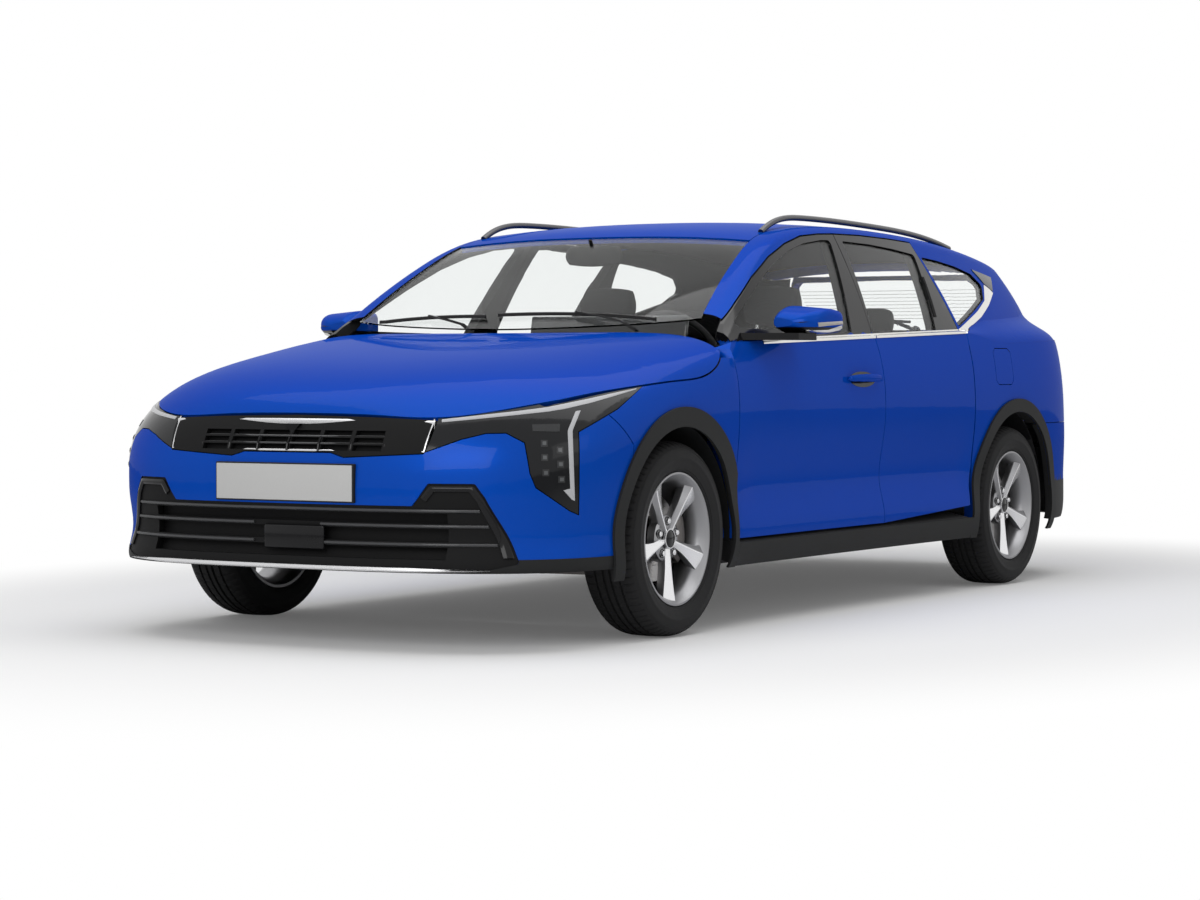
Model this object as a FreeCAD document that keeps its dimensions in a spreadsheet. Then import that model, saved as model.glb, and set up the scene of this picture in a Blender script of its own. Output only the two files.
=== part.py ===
"""Parametric model of a compact station wagon, in millimetres.

Frame: +X forward, +Y to the car's left, +Z up. The origin is on the ground, at the middle of the
car's length and width. Driving sizes are in the sheet named Sizes. Free-form panels are slabs
between an outer skin and the same skin moved inwards, trimmed by outlines drawn in side, front or
plan view.
"""

import FreeCAD, Part
import bisect
import math
import os
import Sketcher

from FreeCAD import Placement, Rotation, Vector

doc = FreeCAD.newDocument("StationWagon")
sheet = doc.addObject("Spreadsheet::Sheet", "Sizes")

# Driving dimensions: alias, value, what it is
DIMENSIONS = [
    ("body_length", 4695, "nose to tail"),
    ("wheelbase", 2720, "front axle to rear axle"),
    ("front_overhang", 925, "nose to front axle"),
    ("tyre_radius", 316, "outer radius of a 205/55 R16 tyre"),
    ("tyre_width", 205, "section width"),
    ("rim_radius", 203, "bead seat radius of a 16 inch rim"),
    ("rim_width", 178, "rim over its flanges"),
    ("track", 1590, "between wheel centre planes"),
    ("half_width", 912, "painted body, from the middle to its widest point"),
    ("roof_height", 1412, "highest point of the roof skin"),
    ("belt_height", 982, "window sill line half way along"),
    ("belt_rise", 0.030, "rise of the window sill per millimetre towards the tail"),
    ("hood_height", 985, "rear edge of the engine lid on the middle line"),
    ("door_thickness", 105, "outer skin to inner trim of a door or sill"),
    ("frame_thickness", 42, "window frames, pillars and rails"),
    ("skin_thickness", 20, "fenders and bumper covers with their ribs"),
    ("lid_thickness", 24, "engine lid"),
    ("roof_thickness", 26, "roof skin with its lining"),
    ("glass_thickness", 5, "every pane"),
    ("shut_gap", 5.5, "between a moving panel and the body"),
    ("panel_gap", 3, "between fixed panels"),
    ("arch_radius", 374, "inner edge of the wheel arch moulding"),
    ("moulding_width", 52, "wheel arch moulding across its face"),
    ("moulding_stand", 9, "how far a moulding stands off the paint"),
    ("sill_bottom", 205, "underside of the sill"),
    ("sill_top", 288, "lower edge of the doors"),
    ("front_door_edge", 1040, "front shut line"),
    ("door_split", -97, "shut line between front and rear door"),
    ("rear_door_edge", -885, "rear shut line of the rear door above the arch"),
]
for row, (alias, value, note) in enumerate(DIMENSIONS, start=1):
    sheet.set("A%d" % row, alias)
    sheet.set("B%d" % row, str(value))
    sheet.set("C%d" % row, note)
    sheet.setAlias("B%d" % row, alias)
doc.recompute()


def size(alias):
    """The number in the sheet's cell of that alias."""
    return float(sheet.get(alias))


L = size("body_length")
NOSE_X = L / 2
TAIL_X = -L / 2
FRONT_AXLE = NOSE_X - size("front_overhang")
REAR_AXLE = FRONT_AXLE - size("wheelbase")
WHEEL_R = size("tyre_radius")


class Curve:
    """A natural cubic through (position, value) points, carried on straight past both ends."""

    def __init__(self, points):
        points = sorted(points)
        self.xs = [p[0] for p in points]
        self.ys = [p[1] for p in points]
        n = len(points)
        h = [self.xs[i + 1] - self.xs[i] for i in range(n - 1)]
        slope = [(self.ys[i + 1] - self.ys[i]) / h[i] for i in range(n - 1)]
        upper = [0.0] * n
        right = [0.0] * n
        for i in range(1, n - 1):
            lower = h[i - 1]
            pivot = 2 * (h[i - 1] + h[i]) - lower * upper[i - 1]
            upper[i] = h[i] / pivot
            right[i] = (6 * (slope[i] - slope[i - 1]) - lower * right[i - 1]) / pivot
        bend = [0.0] * n
        for i in range(n - 2, 0, -1):
            bend[i] = right[i] - upper[i] * bend[i + 1]
        self.bend = bend

    def slope_at(self, i, side):
        """Slope at knot i, taken from the span on the left (-1) or right (+1)."""
        j = i if side > 0 else i - 1
        h = self.xs[j + 1] - self.xs[j]
        chord = (self.ys[j + 1] - self.ys[j]) / h
        if side > 0:
            return chord - h * (2 * self.bend[j] + self.bend[j + 1]) / 6
        return chord + h * (self.bend[j] + 2 * self.bend[j + 1]) / 6

    def __call__(self, x):
        xs, ys, m = self.xs, self.ys, self.bend
        if x <= xs[0]:
            return ys[0] + (x - xs[0]) * self.slope_at(0, 1)
        if x >= xs[-1]:
            return ys[-1] + (x - xs[-1]) * self.slope_at(len(xs) - 1, -1)
        i = bisect.bisect_right(xs, x) - 1
        h = xs[i + 1] - xs[i]
        a = (xs[i + 1] - x) / h
        b = (x - xs[i]) / h
        return a * ys[i] + b * ys[i + 1] + ((a**3 - a) * m[i] + (b**3 - b) * m[i + 1]) * h * h / 6


def between(a, b, t):
    return a + (b - a) * t


def smooth(t):
    """0 below 0, 1 above 1, with level ends."""
    t = min(1.0, max(0.0, t))
    return t * t * (3 - 2 * t)


def solve(function, low, high, steps=44):
    """Where an increasing-or-decreasing function crosses zero between low and high."""
    rising = function(high) > function(low)
    for _ in range(steps):
        middle = (low + high) / 2
        if (function(middle) > 0) == rising:
            high = middle
        else:
            low = middle
    return (low + high) / 2


# Lower body skin

WIDEST_Z = 700
NOSE_WIDEST_Z = 520
HALF_WIDTH = size("half_width")
FACE_X = NOSE_X - 7.5  # the cover's foremost point, behind the lip

# How far the widest line stands in from HALF_WIDTH, along the car
waist_inset = Curve([(TAIL_X, 14), (REAR_AXLE, 0), (-500, 8), (200, 13), (800, 10), (FRONT_AXLE, 3), (NOSE_X, 6)])
# Section of the side below the widest line: height, inset
side_tuck = Curve([(190, 44), (240, 22), (285, 7), (330, 4), (385, 13), (450, 25), (540, 21), (620, 8), (WIDEST_Z, 0)])
front_tuck = Curve([(190, 30), (240, 12), (300, 6), (420, 9), (560, 3), (WIDEST_Z, 0)])
nose_profile = Curve([(190, NOSE_X - 52), (240, NOSE_X - 3), (330, NOSE_X - 18), (450, FACE_X - 1), (520, FACE_X)])
tail_profile = Curve(
    [(190, TAIL_X + 70), (260, TAIL_X + 26), (360, TAIL_X + 4), (480, TAIL_X), (600, TAIL_X + 12),
     (700, TAIL_X + 30), (800, TAIL_X + 46), (900, TAIL_X + 66), (975, TAIL_X + 90), (1040, TAIL_X + 146),
     (1120, TAIL_X + 219), (1200, TAIL_X + 294), (1290, TAIL_X + 384)]
)
# The middle line from the nose over the engine lid, as x and z against a running number
LID_REAR_Z = size("hood_height")
lid_line_x = Curve([(0, FACE_X), (1, FACE_X - 12), (2, FACE_X - 42), (3, FACE_X - 76), (4, FACE_X - 135),
                    (5, FACE_X - 255), (6, FACE_X - 450), (7, FACE_X - 700), (8, FACE_X - 960), (9, 1130), (10, 900)])
lid_line_z = Curve([(0, NOSE_WIDEST_Z), (1, 605), (2, 672), (3, 727), (4, 786), (5, 846), (6, 895), (7, 933),
                    (8, LID_REAR_Z - 22), (9, LID_REAR_Z), (10, LID_REAR_Z + 14)])
dome_width_power = Curve([(1000, 8.5), (1200, 6.2), (1500, 4.3), (1850, 3.6), (FACE_X, 2.7)])
dome_height_power = Curve([(1000, 4.2), (1200, 3.5), (1500, 2.8), (1850, 2.5), (FACE_X, 2.0)])
NOSE_LENGTH_POWER = 4.5
TOUCH = 1e-6
NOSE_WIDTH_POWER = 2.8
TAIL_LENGTH_POWER = 4.0
TAIL_WIDTH_POWER = 2.6


lid_run = [10 - k / 8 for k in range(80)] + [0.05, 0.0]
lid_centre_z = Curve([(lid_line_x(k), lid_line_z(k)) for k in lid_run])


def widest_z(x):
    return WIDEST_Z - (WIDEST_Z - NOSE_WIDEST_Z) * smooth((x - 1300) / (FACE_X - 1300))


def belt_z(x):
    return size("belt_height") - size("belt_rise") * x


def end_factor(x, z):
    """How the plan view closes towards the nose and the tail."""
    if x > FRONT_AXLE:
        t = min(1.0, (x - FRONT_AXLE) / (nose_profile(min(z, NOSE_WIDEST_Z)) - FRONT_AXLE))
        return (1 - t**NOSE_LENGTH_POWER) ** (1 / NOSE_WIDTH_POWER)
    if x < REAR_AXLE:
        t = min(1.0, (REAR_AXLE - x) / (REAR_AXLE - tail_profile(z)))
        return (1 - t**TAIL_LENGTH_POWER) ** (1 / TAIL_WIDTH_POWER)
    return 1.0


def side_y(x, z):
    """Half width of the lower body skin at a station and height."""
    widest = widest_z(x)
    base = HALF_WIDTH - waist_inset(x)
    if z <= widest:
        height = 190 + (z - 190) * (WIDEST_Z - 190) / (widest - 190)
        near_wheel = max(smooth((x - 850) / 350), smooth((-750 - x) / 300))
        base -= between(side_tuck(height), front_tuck(height), near_wheel)
        return base * end_factor(x, z)
    if x > 1000:
        top = lid_centre_z(x)
        rise = min(1.0, (z - widest) / max(1e-6, top - widest))
        fender = (1 - rise ** dome_height_power(x)) ** (1 / dome_width_power(x))
        if x > 1100:
            return base * fender * end_factor(x, widest)
    else:
        fender = 1.0
    rise = (z - widest) / (belt_z(x) - widest)
    shoulder = base - 46 * rise**2.4
    if x > 1000:
        return between(shoulder, base * fender, smooth((x - 1000) / 100))
    return shoulder * end_factor(x, z)


def lid_z(x, y):
    """Height of the engine lid's skin."""
    widest = widest_z(x)
    base = (HALF_WIDTH - waist_inset(x)) * end_factor(x, widest)
    across = min(1.0, abs(y) / base) ** dome_width_power(x)
    return widest + (lid_centre_z(x) - widest) * (1 - across) ** (1 / dome_height_power(x))


def nose_point(angle, z):
    """Point of the front skin at a height, seen from the front axle's middle at an angle."""
    c, s = math.cos(angle), math.sin(angle)

    def outside(r):
        x = FRONT_AXLE + r * c
        if x >= FACE_X + 12 or (z > NOSE_WIDEST_Z and lid_centre_z(x) <= z):
            return 1.0
        return r * s + TOUCH - side_y(x, z)

    r = solve(outside, 200, 1100)
    return Vector(FRONT_AXLE + r * c, r * s, z)


def tail_point(angle, z):
    """Point of the rear skin at a height, seen from the rear axle's middle at an angle."""
    c, s = math.cos(angle), math.sin(angle)

    def outside(r):
        x = REAR_AXLE - r * c
        if x <= tail_profile(z):
            return 1.0
        return r * s + TOUCH - side_y(x, z)

    r = solve(outside, 200, 1200)
    return Vector(REAR_AXLE - r * c, r * s, z)


# Upper body skin

ROOF_TOP = size("roof_height")
roof_line = Curve([(1230, 930), (1130, 985), (900, 1108), (650, 1239), (450, 1340), (250, ROOF_TOP - 27),
                   (0, ROOF_TOP - 3), (-400, ROOF_TOP), (-900, ROOF_TOP - 10), (-1400, ROOF_TOP - 36),
                   (-1800, ROOF_TOP - 72), (-2000, ROOF_TOP - 98)])
corner_y = Curve([(1130, 792), (1010, 780), (800, 742), (600, 708), (450, 684), (250, 664), (0, 656), (-500, 652),
                  (-1000, 642), (-1400, 624), (-1750, 596), (-2000, 560)])
corner_z = Curve([(1130, 915), (1010, 985), (800, 1122), (600, 1232), (450, 1299), (250, 1352), (0, 1378),
                  (-500, 1384), (-1000, 1366), (-1400, 1334), (-1750, 1294), (-2000, 1262)])
glass_foot_y = Curve([(1100, 838), (900, 842), (400, 846), (0, 846), (-600, 842), (-1000, 828), (-1400, 792),
                      (-1800, 722), (-2000, 672)])
GLASS_BULGE = 11
CROWN_POWER = 2.3


def glass_y(x, z):
    """Half width of the upper side, from the window sill up to the roof's corner."""
    foot, top = belt_z(x), corner_z(x)
    rise = max(0.0, z - foot) / max(40.0, top - foot)
    return between(glass_foot_y(x), corner_y(x), rise) + 4 * GLASS_BULGE * rise * (1 - rise)


def top_z(x, y):
    """Height of the windscreen and roof skin."""
    return corner_z(x) + (roof_line(x) - corner_z(x)) * (1 - min(1.2, abs(y) / corner_y(x)) ** CROWN_POWER)


UPPER_LENGTH_POWER = 12
UPPER_WIDTH_POWER = 3


def upper_y(x, z):
    """Half width of the upper body, closing towards the tail."""
    half = glass_y(x, z)
    if x >= REAR_AXLE:
        return half
    t = min(1.0, (REAR_AXLE - x) / (REAR_AXLE - tail_profile(z)))
    return half * (1 - t**UPPER_LENGTH_POWER) ** (1 / UPPER_WIDTH_POWER)


def skin_y(x, z):
    """Half width of the whole body at a station and height."""
    return side_y(x, z) if z <= belt_z(x) else upper_y(x, z)


# Slabs between a skin and the same skin moved inwards


def skin_face(grid):
    surface = Part.BSplineSurface()
    surface.interpolate(grid)
    return surface.toShape()


def inwards(grid, thickness, inside):
    """The grid moved along its own normals, towards the point named inside."""
    rows, columns = len(grid), len(grid[0])
    moved = []
    for i in range(rows):
        row = []
        for j in range(columns):
            along = grid[min(i + 1, rows - 1)][j] - grid[max(i - 1, 0)][j]
            across = grid[i][min(j + 1, columns - 1)] - grid[i][max(j - 1, 0)]
            normal = along.cross(across)
            normal.normalize()
            if normal.dot(inside - grid[i][j]) < 0:
                normal = -normal
            row.append(grid[i][j] + normal * thickness)
        moved.append(row)
    return moved


def shifted(grid, offset):
    return [[p + offset for p in row] for row in grid]


def slab(outer, inner):
    """The solid between two grids of points with the same layout."""
    faces = [skin_face(outer), skin_face(inner)]
    edges = [face.OuterWire.OrderedEdges for face in faces]
    sides = []
    for edge in edges[0]:
        middle = edge.valueAt((edge.FirstParameter + edge.LastParameter) / 2)
        partner = min(
            edges[1],
            key=lambda e: e.valueAt((e.FirstParameter + e.LastParameter) / 2).distanceToPoint(middle),
        )
        sides.append(Part.makeRuledSurface(edge, partner))
    shell = Part.makeShell(faces + sides)
    shell.sewShape()
    solid = Part.makeSolid(shell)
    if solid.Volume < 0:
        solid.reverse()
    return solid


def outline(points, radius=0.0):
    """A closed wire of straight runs through 3-D points in one plane, with rounded corners."""
    n = len(points)
    edges = []
    starts = []
    for i in range(n):
        corner = points[i]
        back = points[i - 1] - corner
        ahead = points[(i + 1) % n] - corner
        turn = math.pi - back.getAngle(ahead)
        reach = radius * math.tan(turn / 2) if radius else 0.0
        reach = min(reach, 0.45 * back.Length, 0.45 * ahead.Length)
        if reach < 0.05:
            starts.append((corner, corner, None))
            continue
        a = corner + back * (reach / back.Length)
        b = corner + ahead * (reach / ahead.Length)
        actual = reach / math.tan(turn / 2)
        bisector = (back * (1 / back.Length) + ahead * (1 / ahead.Length))
        bisector.normalize()
        to_centre = math.hypot(actual, reach)
        middle = corner + bisector * (to_centre - actual)
        starts.append((a, b, middle))
    for i in range(n):
        a, b, middle = starts[i]
        if middle is not None:
            edges.append(Part.Arc(a, middle, b).toShape())
        following = starts[(i + 1) % n][0]
        if (following - b).Length > 0.01:
            edges.append(Part.LineSegment(b, following).toShape())
    return Part.Wire(edges)


def prism(points, direction, radius=0.0):
    """A solid swept along a direction from an outline of 3-D points in one plane."""
    return Part.Face(outline(points, radius)).extrude(direction)


# Objects of the document

NODES = []


def mirrored(shape):
    return shape.mirror(Vector(0, 0, 0), Vector(0, 1, 0))


def keep(label, shape):
    """Store a free-form shape as a named sub-part."""
    node = doc.addObject("Part::Feature", label)
    node.Label = label
    node.Shape = shape
    NODES.append(node)
    return node


def keep_pair(label, shape):
    keep(label + "_left", shape)
    keep(label + "_right", mirrored(shape))


def fused(shapes):
    """One shape from pieces that touch or overlap."""
    whole = shapes[0]
    if len(shapes) > 1:
        whole = whole.multiFuse(shapes[1:])
    return whole


def together(shapes):
    """One compound from pieces that stand apart."""
    solids = []
    for shape in shapes:
        solids.extend(shape.Solids)
    return Part.makeCompound(solids)


def block(x0, x1, y0, y1, z0, z1):
    return Part.makeBox(x1 - x0, y1 - y0, z1 - z0, Vector(x0, y0, z0))


def drum(radius, centre, half_width, direction=Vector(0, 1, 0)):
    """A cylinder about a centre, half_width to each side."""
    return Part.makeCylinder(radius, 2 * half_width, centre - direction * half_width, direction)


def rod(points, radius):
    """Round bar through points, with balls in the bends."""
    pieces = []
    for a, b in zip(points, points[1:]):
        pieces.append(Part.makeCylinder(radius, (b - a).Length, a, b - a))
    for p in points[1:-1]:
        pieces.append(Part.makeSphere(radius, p))
    return fused(pieces)


def largest(shape):
    return max(shape.Solids, key=lambda solid: solid.Volume)


def moved(shape, offset):
    copy = shape.copy()
    copy.translate(offset)
    return copy


SEAT = 0.4  # what stands against a curved skin stops this far from it


def seated(shape, skin, towards):
    """The shape cut back to a small gap from a skin that it meets in the direction towards."""
    return largest(shape.cut(skin).cut(moved(skin, towards * -SEAT)))


def steps(low, high, count):
    return [between(low, high, i / (count - 1)) for i in range(count)]


GAP = size("shut_gap")
SEAM = size("panel_gap")
DOOR_T = size("door_thickness")
FRAME_T = size("frame_thickness")
SKIN_T = size("skin_thickness")
LID_T = size("lid_thickness")
ROOF_T = size("roof_thickness")
GLASS_T = size("glass_thickness")
AXLE_Z = WHEEL_R
ARCH_R = size("arch_radius")
SIDE_REACH = 1200
MIDDLE = Vector(0, 0, 600)

# Edge of the engine lid: height against the half width in front, and against x along the fender
lid_front_edge = Curve([(0, 727), (300, 722), (500, 716), (669, 739), (774, 768)])
lid_side_edge = Curve([(1074, 934), (1087, 922), (1167, 871), (1261, 842), (1420, 828), (1602, 814), (1888, 783), (1977, 768)])
LID_CORNER_Y = 774
LID_REAR_X = 1130


def lid_grid(inset):
    """Points of the engine lid's skin, its edge drawn in by inset."""
    rows = []
    across = [math.sin(math.pi / 2 * t) for t in steps(-1, 1, 23)]
    corner_x = solve(lambda x: lid_z(x, LID_CORNER_Y) - lid_front_edge(LID_CORNER_Y), 1700, 2200)
    rear_corner = 1087 + inset

    def front_x(y):
        return solve(lambda x: lid_z(x, y) - lid_front_edge(abs(y)) - inset, 1800, FACE_X - 1)

    for v in steps(0, 1, 21):
        v = math.sin(math.pi / 2 * v)
        x_edge = between(rear_corner, corner_x, v)
        z_edge = lid_side_edge(x_edge) + inset
        y_edge = side_y(x_edge, z_edge)
        row = []
        for u in across:
            y = u * y_edge
            y_front = u * LID_CORNER_Y
            x_rear = LID_REAR_X - (LID_REAR_X - rear_corner) * abs(u) ** 1.5
            x_front = front_x(y_front)
            x = between(x_rear, x_front, v) if abs(u) < 1 else x_edge
            row.append(Vector(x, y, lid_z(x, y)))
        rows.append(row)
    return rows


def side_grid(x0, x1, z_low, z_high, nx, nz, half=side_y):
    """Points of the left side between two stations and two height curves."""
    rows = []
    for x in steps(x0, x1, nx):
        low, high = z_low(x), z_high(x)
        rows.append([Vector(x, half(x, z), z) for z in steps(low, high, nz)])
    return rows


def wall(x0, x1, z_low, z_high, thickness, nx=16, nz=14, half=side_y):
    grid = side_grid(x0, x1, z_low, z_high, nx, nz, half)
    return slab(grid, inwards(grid, thickness, MIDDLE))


def ring(point, low_angle, high_angle, z_low, z_high, thickness, na=37, nz=13):
    """A wall round the nose or the tail between two angles and two height curves."""
    rows = []
    for a in steps(math.radians(low_angle), math.radians(high_angle), na):
        sign = -1 if a < 0 else 1
        low, high = z_low(abs(a)), z_high(abs(a))
        row = []
        for z in steps(low, high, nz):
            p = point(abs(a), z)
            row.append(Vector(p.x, sign * p.y, z))
        rows.append(row)
    return rows


def side_prism(points, radius=0.0, low=300, high=SIDE_REACH, slant=0.0):
    """A prism along Y through (x, z) points lying on the left skin, leaning with slant."""
    corners = []
    for x, z in points:
        reach = skin_y(x, z) - low if slant else 0.0
        corners.append(Vector(x + slant * reach, low, z))
    length = high - low
    return prism(corners, Vector(-slant * length, length, 0), radius)


def grown(points, amount):
    """A closed (a, b) outline moved outwards by amount (inwards when negative)."""
    n = len(points)
    area = sum(points[i][0] * points[(i + 1) % n][1] - points[(i + 1) % n][0] * points[i][1] for i in range(n))
    sign = 1 if area > 0 else -1
    result = []
    for i in range(n):
        x0, y0 = points[i - 1]
        x1, y1 = points[i]
        x2, y2 = points[(i + 1) % n]
        la, lb = math.hypot(x1 - x0, y1 - y0), math.hypot(x2 - x1, y2 - y1)
        na = (sign * (y1 - y0) / la, -sign * (x1 - x0) / la)
        nb = (sign * (y2 - y1) / lb, -sign * (x2 - x1) / lb)
        scale = amount / max(0.3, 1 + na[0] * nb[0] + na[1] * nb[1])
        result.append((x1 + (na[0] + nb[0]) * scale, y1 + (na[1] + nb[1]) * scale))
    return result


# Engine lid

hood_grid = lid_grid(0)
hood = slab(hood_grid, inwards(hood_grid, LID_T, MIDDLE))
keep("hood", hood)
space_grid = lid_grid(-GAP)
hood_space = slab(shifted(space_grid, Vector(0, 0, 40)), inwards(space_grid, LID_T + GAP, MIDDLE))

# Fenders

DOOR_EDGE = size("front_door_edge")
front_arch = drum(ARCH_R, Vector(FRONT_AXLE, 700, AXLE_Z), 400)
rear_arch = drum(ARCH_R, Vector(REAR_AXLE, 700, AXLE_Z), 400)
fender_top = lambda x: lid_side_edge(max(x, 1087)) - GAP
fender = wall(DOOR_EDGE + GAP / 2, 1905, lambda x: 292, fender_top, SKIN_T, 22, 14)
LAMP_POINTS = [
    Vector(2229, 500, 713), Vector(2127, 669, 737), Vector(1977, 774, 766), Vector(1888, 806, 780),
    Vector(1602, 861, 812), Vector(1792, 877, 739), Vector(1985, 852, 671), Vector(1998, 860, 418),
    Vector(2032, 849, 431), Vector(2134, 791, 504), Vector(2148, 779, 547), Vector(2145, 758, 640),
    Vector(2166, 705, 669), Vector(2199, 654, 668), Vector(2239, 590, 650), Vector(2286, 490, 611),
]
LAMP_ANGLE = 38


def flat_points(points, angle):
    """Points seen along a horizontal direction, as (across, z)."""
    c, s = math.cos(math.radians(angle)), math.sin(math.radians(angle))
    return [(p.dot(Vector(-s, c, 0)), p.z) for p in points]


def seen_prism(flat, angle, near, far, radius=0.0):
    """A prism along a horizontal direction from (across, z) points."""
    c, s = math.cos(math.radians(angle)), math.sin(math.radians(angle))
    corners = [Vector(c * near - s * u, s * near + c * u, z) for u, z in flat]
    return prism(corners, Vector(c, s, 0) * (far - near), radius)


lamp_flat = flat_points(LAMP_POINTS, LAMP_ANGLE)
lamp_hole = seen_prism(grown(lamp_flat, SEAM / 2), LAMP_ANGLE, 1200, 2700)
lamp_form = seen_prism(grown(lamp_flat, -SEAM / 2), LAMP_ANGLE, 1200, 2700)
seam_front = side_prism([(1843, 900), (1843, 719), (1745, 626), (1745, 150), (2500, 150), (2500, 900)], 0, -100)
seam_rear = side_prism(
    [(1843 - SEAM, 900), (1843 - SEAM, 719 + SEAM), (1745 - SEAM, 626 + SEAM), (1745 - SEAM, 150), (900, 150), (900, 900)], 0, -100
)
fender = fender.cut(front_arch).common(seam_rear).cut(lamp_hole).cut(hood_space)

# Front bumper



def cover_top(a):
    p = nose_point(a, 700)
    if p.y < LID_CORNER_Y:
        return lid_front_edge(p.y) - GAP
    return lid_side_edge(p.x) - GAP


cover_grid = ring(nose_point, -74, 74, lambda a: 245, cover_top, SKIN_T)
cover = slab(cover_grid, inwards(cover_grid, SKIN_T, Vector(1500, 0, 450)))


def front_prism(points, x0=1900, x1=2500, radius=0.0):
    """A prism along X through (y, z) points."""
    return prism([Vector(x0, y, z) for y, z in points], Vector(x1 - x0, 0, 0), radius)


def both_sides(points):
    """A closed (y, z) outline from its left half, listed from the middle top round to the middle bottom."""
    right = [(-y, z) for y, z in reversed(points) if y > 0]
    return points + right


GRILLE_LINE = both_sides([(0, 722), (300, 716), (497, 709), (487, 606), (215, 592), (165, 606), (0, 606)])
INTAKE_LINE = both_sides(
    [(0, 446), (455, 446), (476, 472), (507, 515), (644, 515), (671, 473), (757, 274), (668, 252), (0, 262)]
)
grille_hole = front_prism(grown(GRILLE_LINE, SEAM / 2), radius=6)
grille_form = front_prism(grown(GRILLE_LINE, -SEAM / 2), radius=6)
intake_hole = front_prism(grown(INTAKE_LINE, SEAM / 2), radius=10)
intake_form = front_prism(grown(INTAKE_LINE, SEAM / 2 - SEAT), radius=10)
seam_front_right = mirrored(seam_front)
front_arch_right = mirrored(front_arch)
lamp_hole_right = mirrored(lamp_hole)
cover = cover.common(fused([seam_front, seam_front_right, block(1900, 2500, -760, 760, 100, 900)]))
cover = cover.cut(front_arch).cut(front_arch_right).cut(lamp_hole).cut(lamp_hole_right)
cover = cover.cut(grille_hole).cut(intake_hole)
cover = largest(cover.cut(hood_space))
keep("front_bumper", cover)

# Headlamps

LAMP_DEPTH = 46
lamp_grid = ring(nose_point, 8, 80, lambda a: 400, lambda a: cover_top(a) + 1, LAMP_DEPTH, 41, 17)
lamp_slab = slab(lamp_grid, inwards(lamp_grid, LAMP_DEPTH, Vector(1500, 0, 450)))
lamp = lamp_slab.common(lamp_form)
lamp = largest(lamp.cut(hood_space))
keep("headlamps", together([lamp, mirrored(lamp)]))

# Upper grille: bright bar over a ribbed black panel

nose_wide = ring(nose_point, -33, 33, lambda a: 560, lambda a: cover_top(a), 10, 37, 15)
grille_sheet = slab(nose_wide, inwards(shifted(nose_wide, Vector(-6, 0, 0)), 40, Vector(1500, 0, 450)))
grille = grille_sheet.common(grille_form)
GRILLE_RIBS = 6
rib_space = []
for i in range(GRILLE_RIBS):
    y0 = between(-351, 351, i / GRILLE_RIBS) + 7
    y1 = between(-351, 351, (i + 1) / GRILLE_RIBS) - 7
    for z0, z1 in ((612, 630), (636, 652), (658, 674)):
        rib_space.append(block(2200, 2400, y0, y1, z0, z1))
recess = grille_sheet.copy()
recess.translate(Vector(12, 0, 0))
pockets = recess.common(together(rib_space))
grille = grille.cut(pockets)
flange_wide = inwards(nose_wide, SKIN_T + SEAT, Vector(1500, 0, 450))
flange_sheet = slab(flange_wide, inwards(nose_wide, SKIN_T + 6, Vector(1500, 0, 450)))
grille_flange = flange_sheet.common(front_prism([(-478, 580), (478, 580), (478, 690), (-478, 690)]))
grille = largest(fused([grille, grille_flange]).cut(lamp_hole).cut(lamp_hole_right))
keep("upper_grille", grille)

# Lower intake with slats, corner brackets and the sensor's cover

intake_wide = ring(nose_point, -46, 46, lambda a: 240, lambda a: 530, 10, 45, 15)
intake_sheet = slab(shifted(intake_wide, Vector(-4, 0, 0)), inwards(shifted(intake_wide, Vector(-4, 0, 0)), 46, Vector(1500, 0, 450)))
intake = intake_sheet.common(intake_form)
slot_space = []
for z0, z1 in ((285, 322), (338, 378), (394, 425)):
    slot_space.append(block(2000, 2400, -560, 560, z0, z1))
slots = intake_sheet.copy()
slots.translate(Vector(18, 0, 0))
intake = intake.cut(slots.common(together(slot_space)))
keep("lower_grille", intake)

# Doors

DOOR_BOTTOM = 297
DOOR_SPLIT = size("door_split")
REAR_EDGE = size("rear_door_edge")
SLANT = 0.30
DOOR_ARCH_R = 445


def corner_line(x):
    """Top edge of the door openings."""
    return corner_z(x) - 24


def upper_grid(x0, x1, z_low, z_high, nx, nz):
    return side_grid(x0, x1, z_low, z_high, nx, nz, upper_y)


belt_foot = lambda x: belt_z(x) - 34
belt_top = lambda x: belt_z(x)

lower_side = wall(1075, -960, lambda x: 230, belt_top, DOOR_T, 34, 16)
upper_outer = upper_grid(985, -980, belt_foot, lambda x: corner_z(x) - 6, 34, 12)
upper_side = slab(upper_outer, inwards(upper_outer, FRAME_T, Vector(0, 0, 700)))

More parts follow.
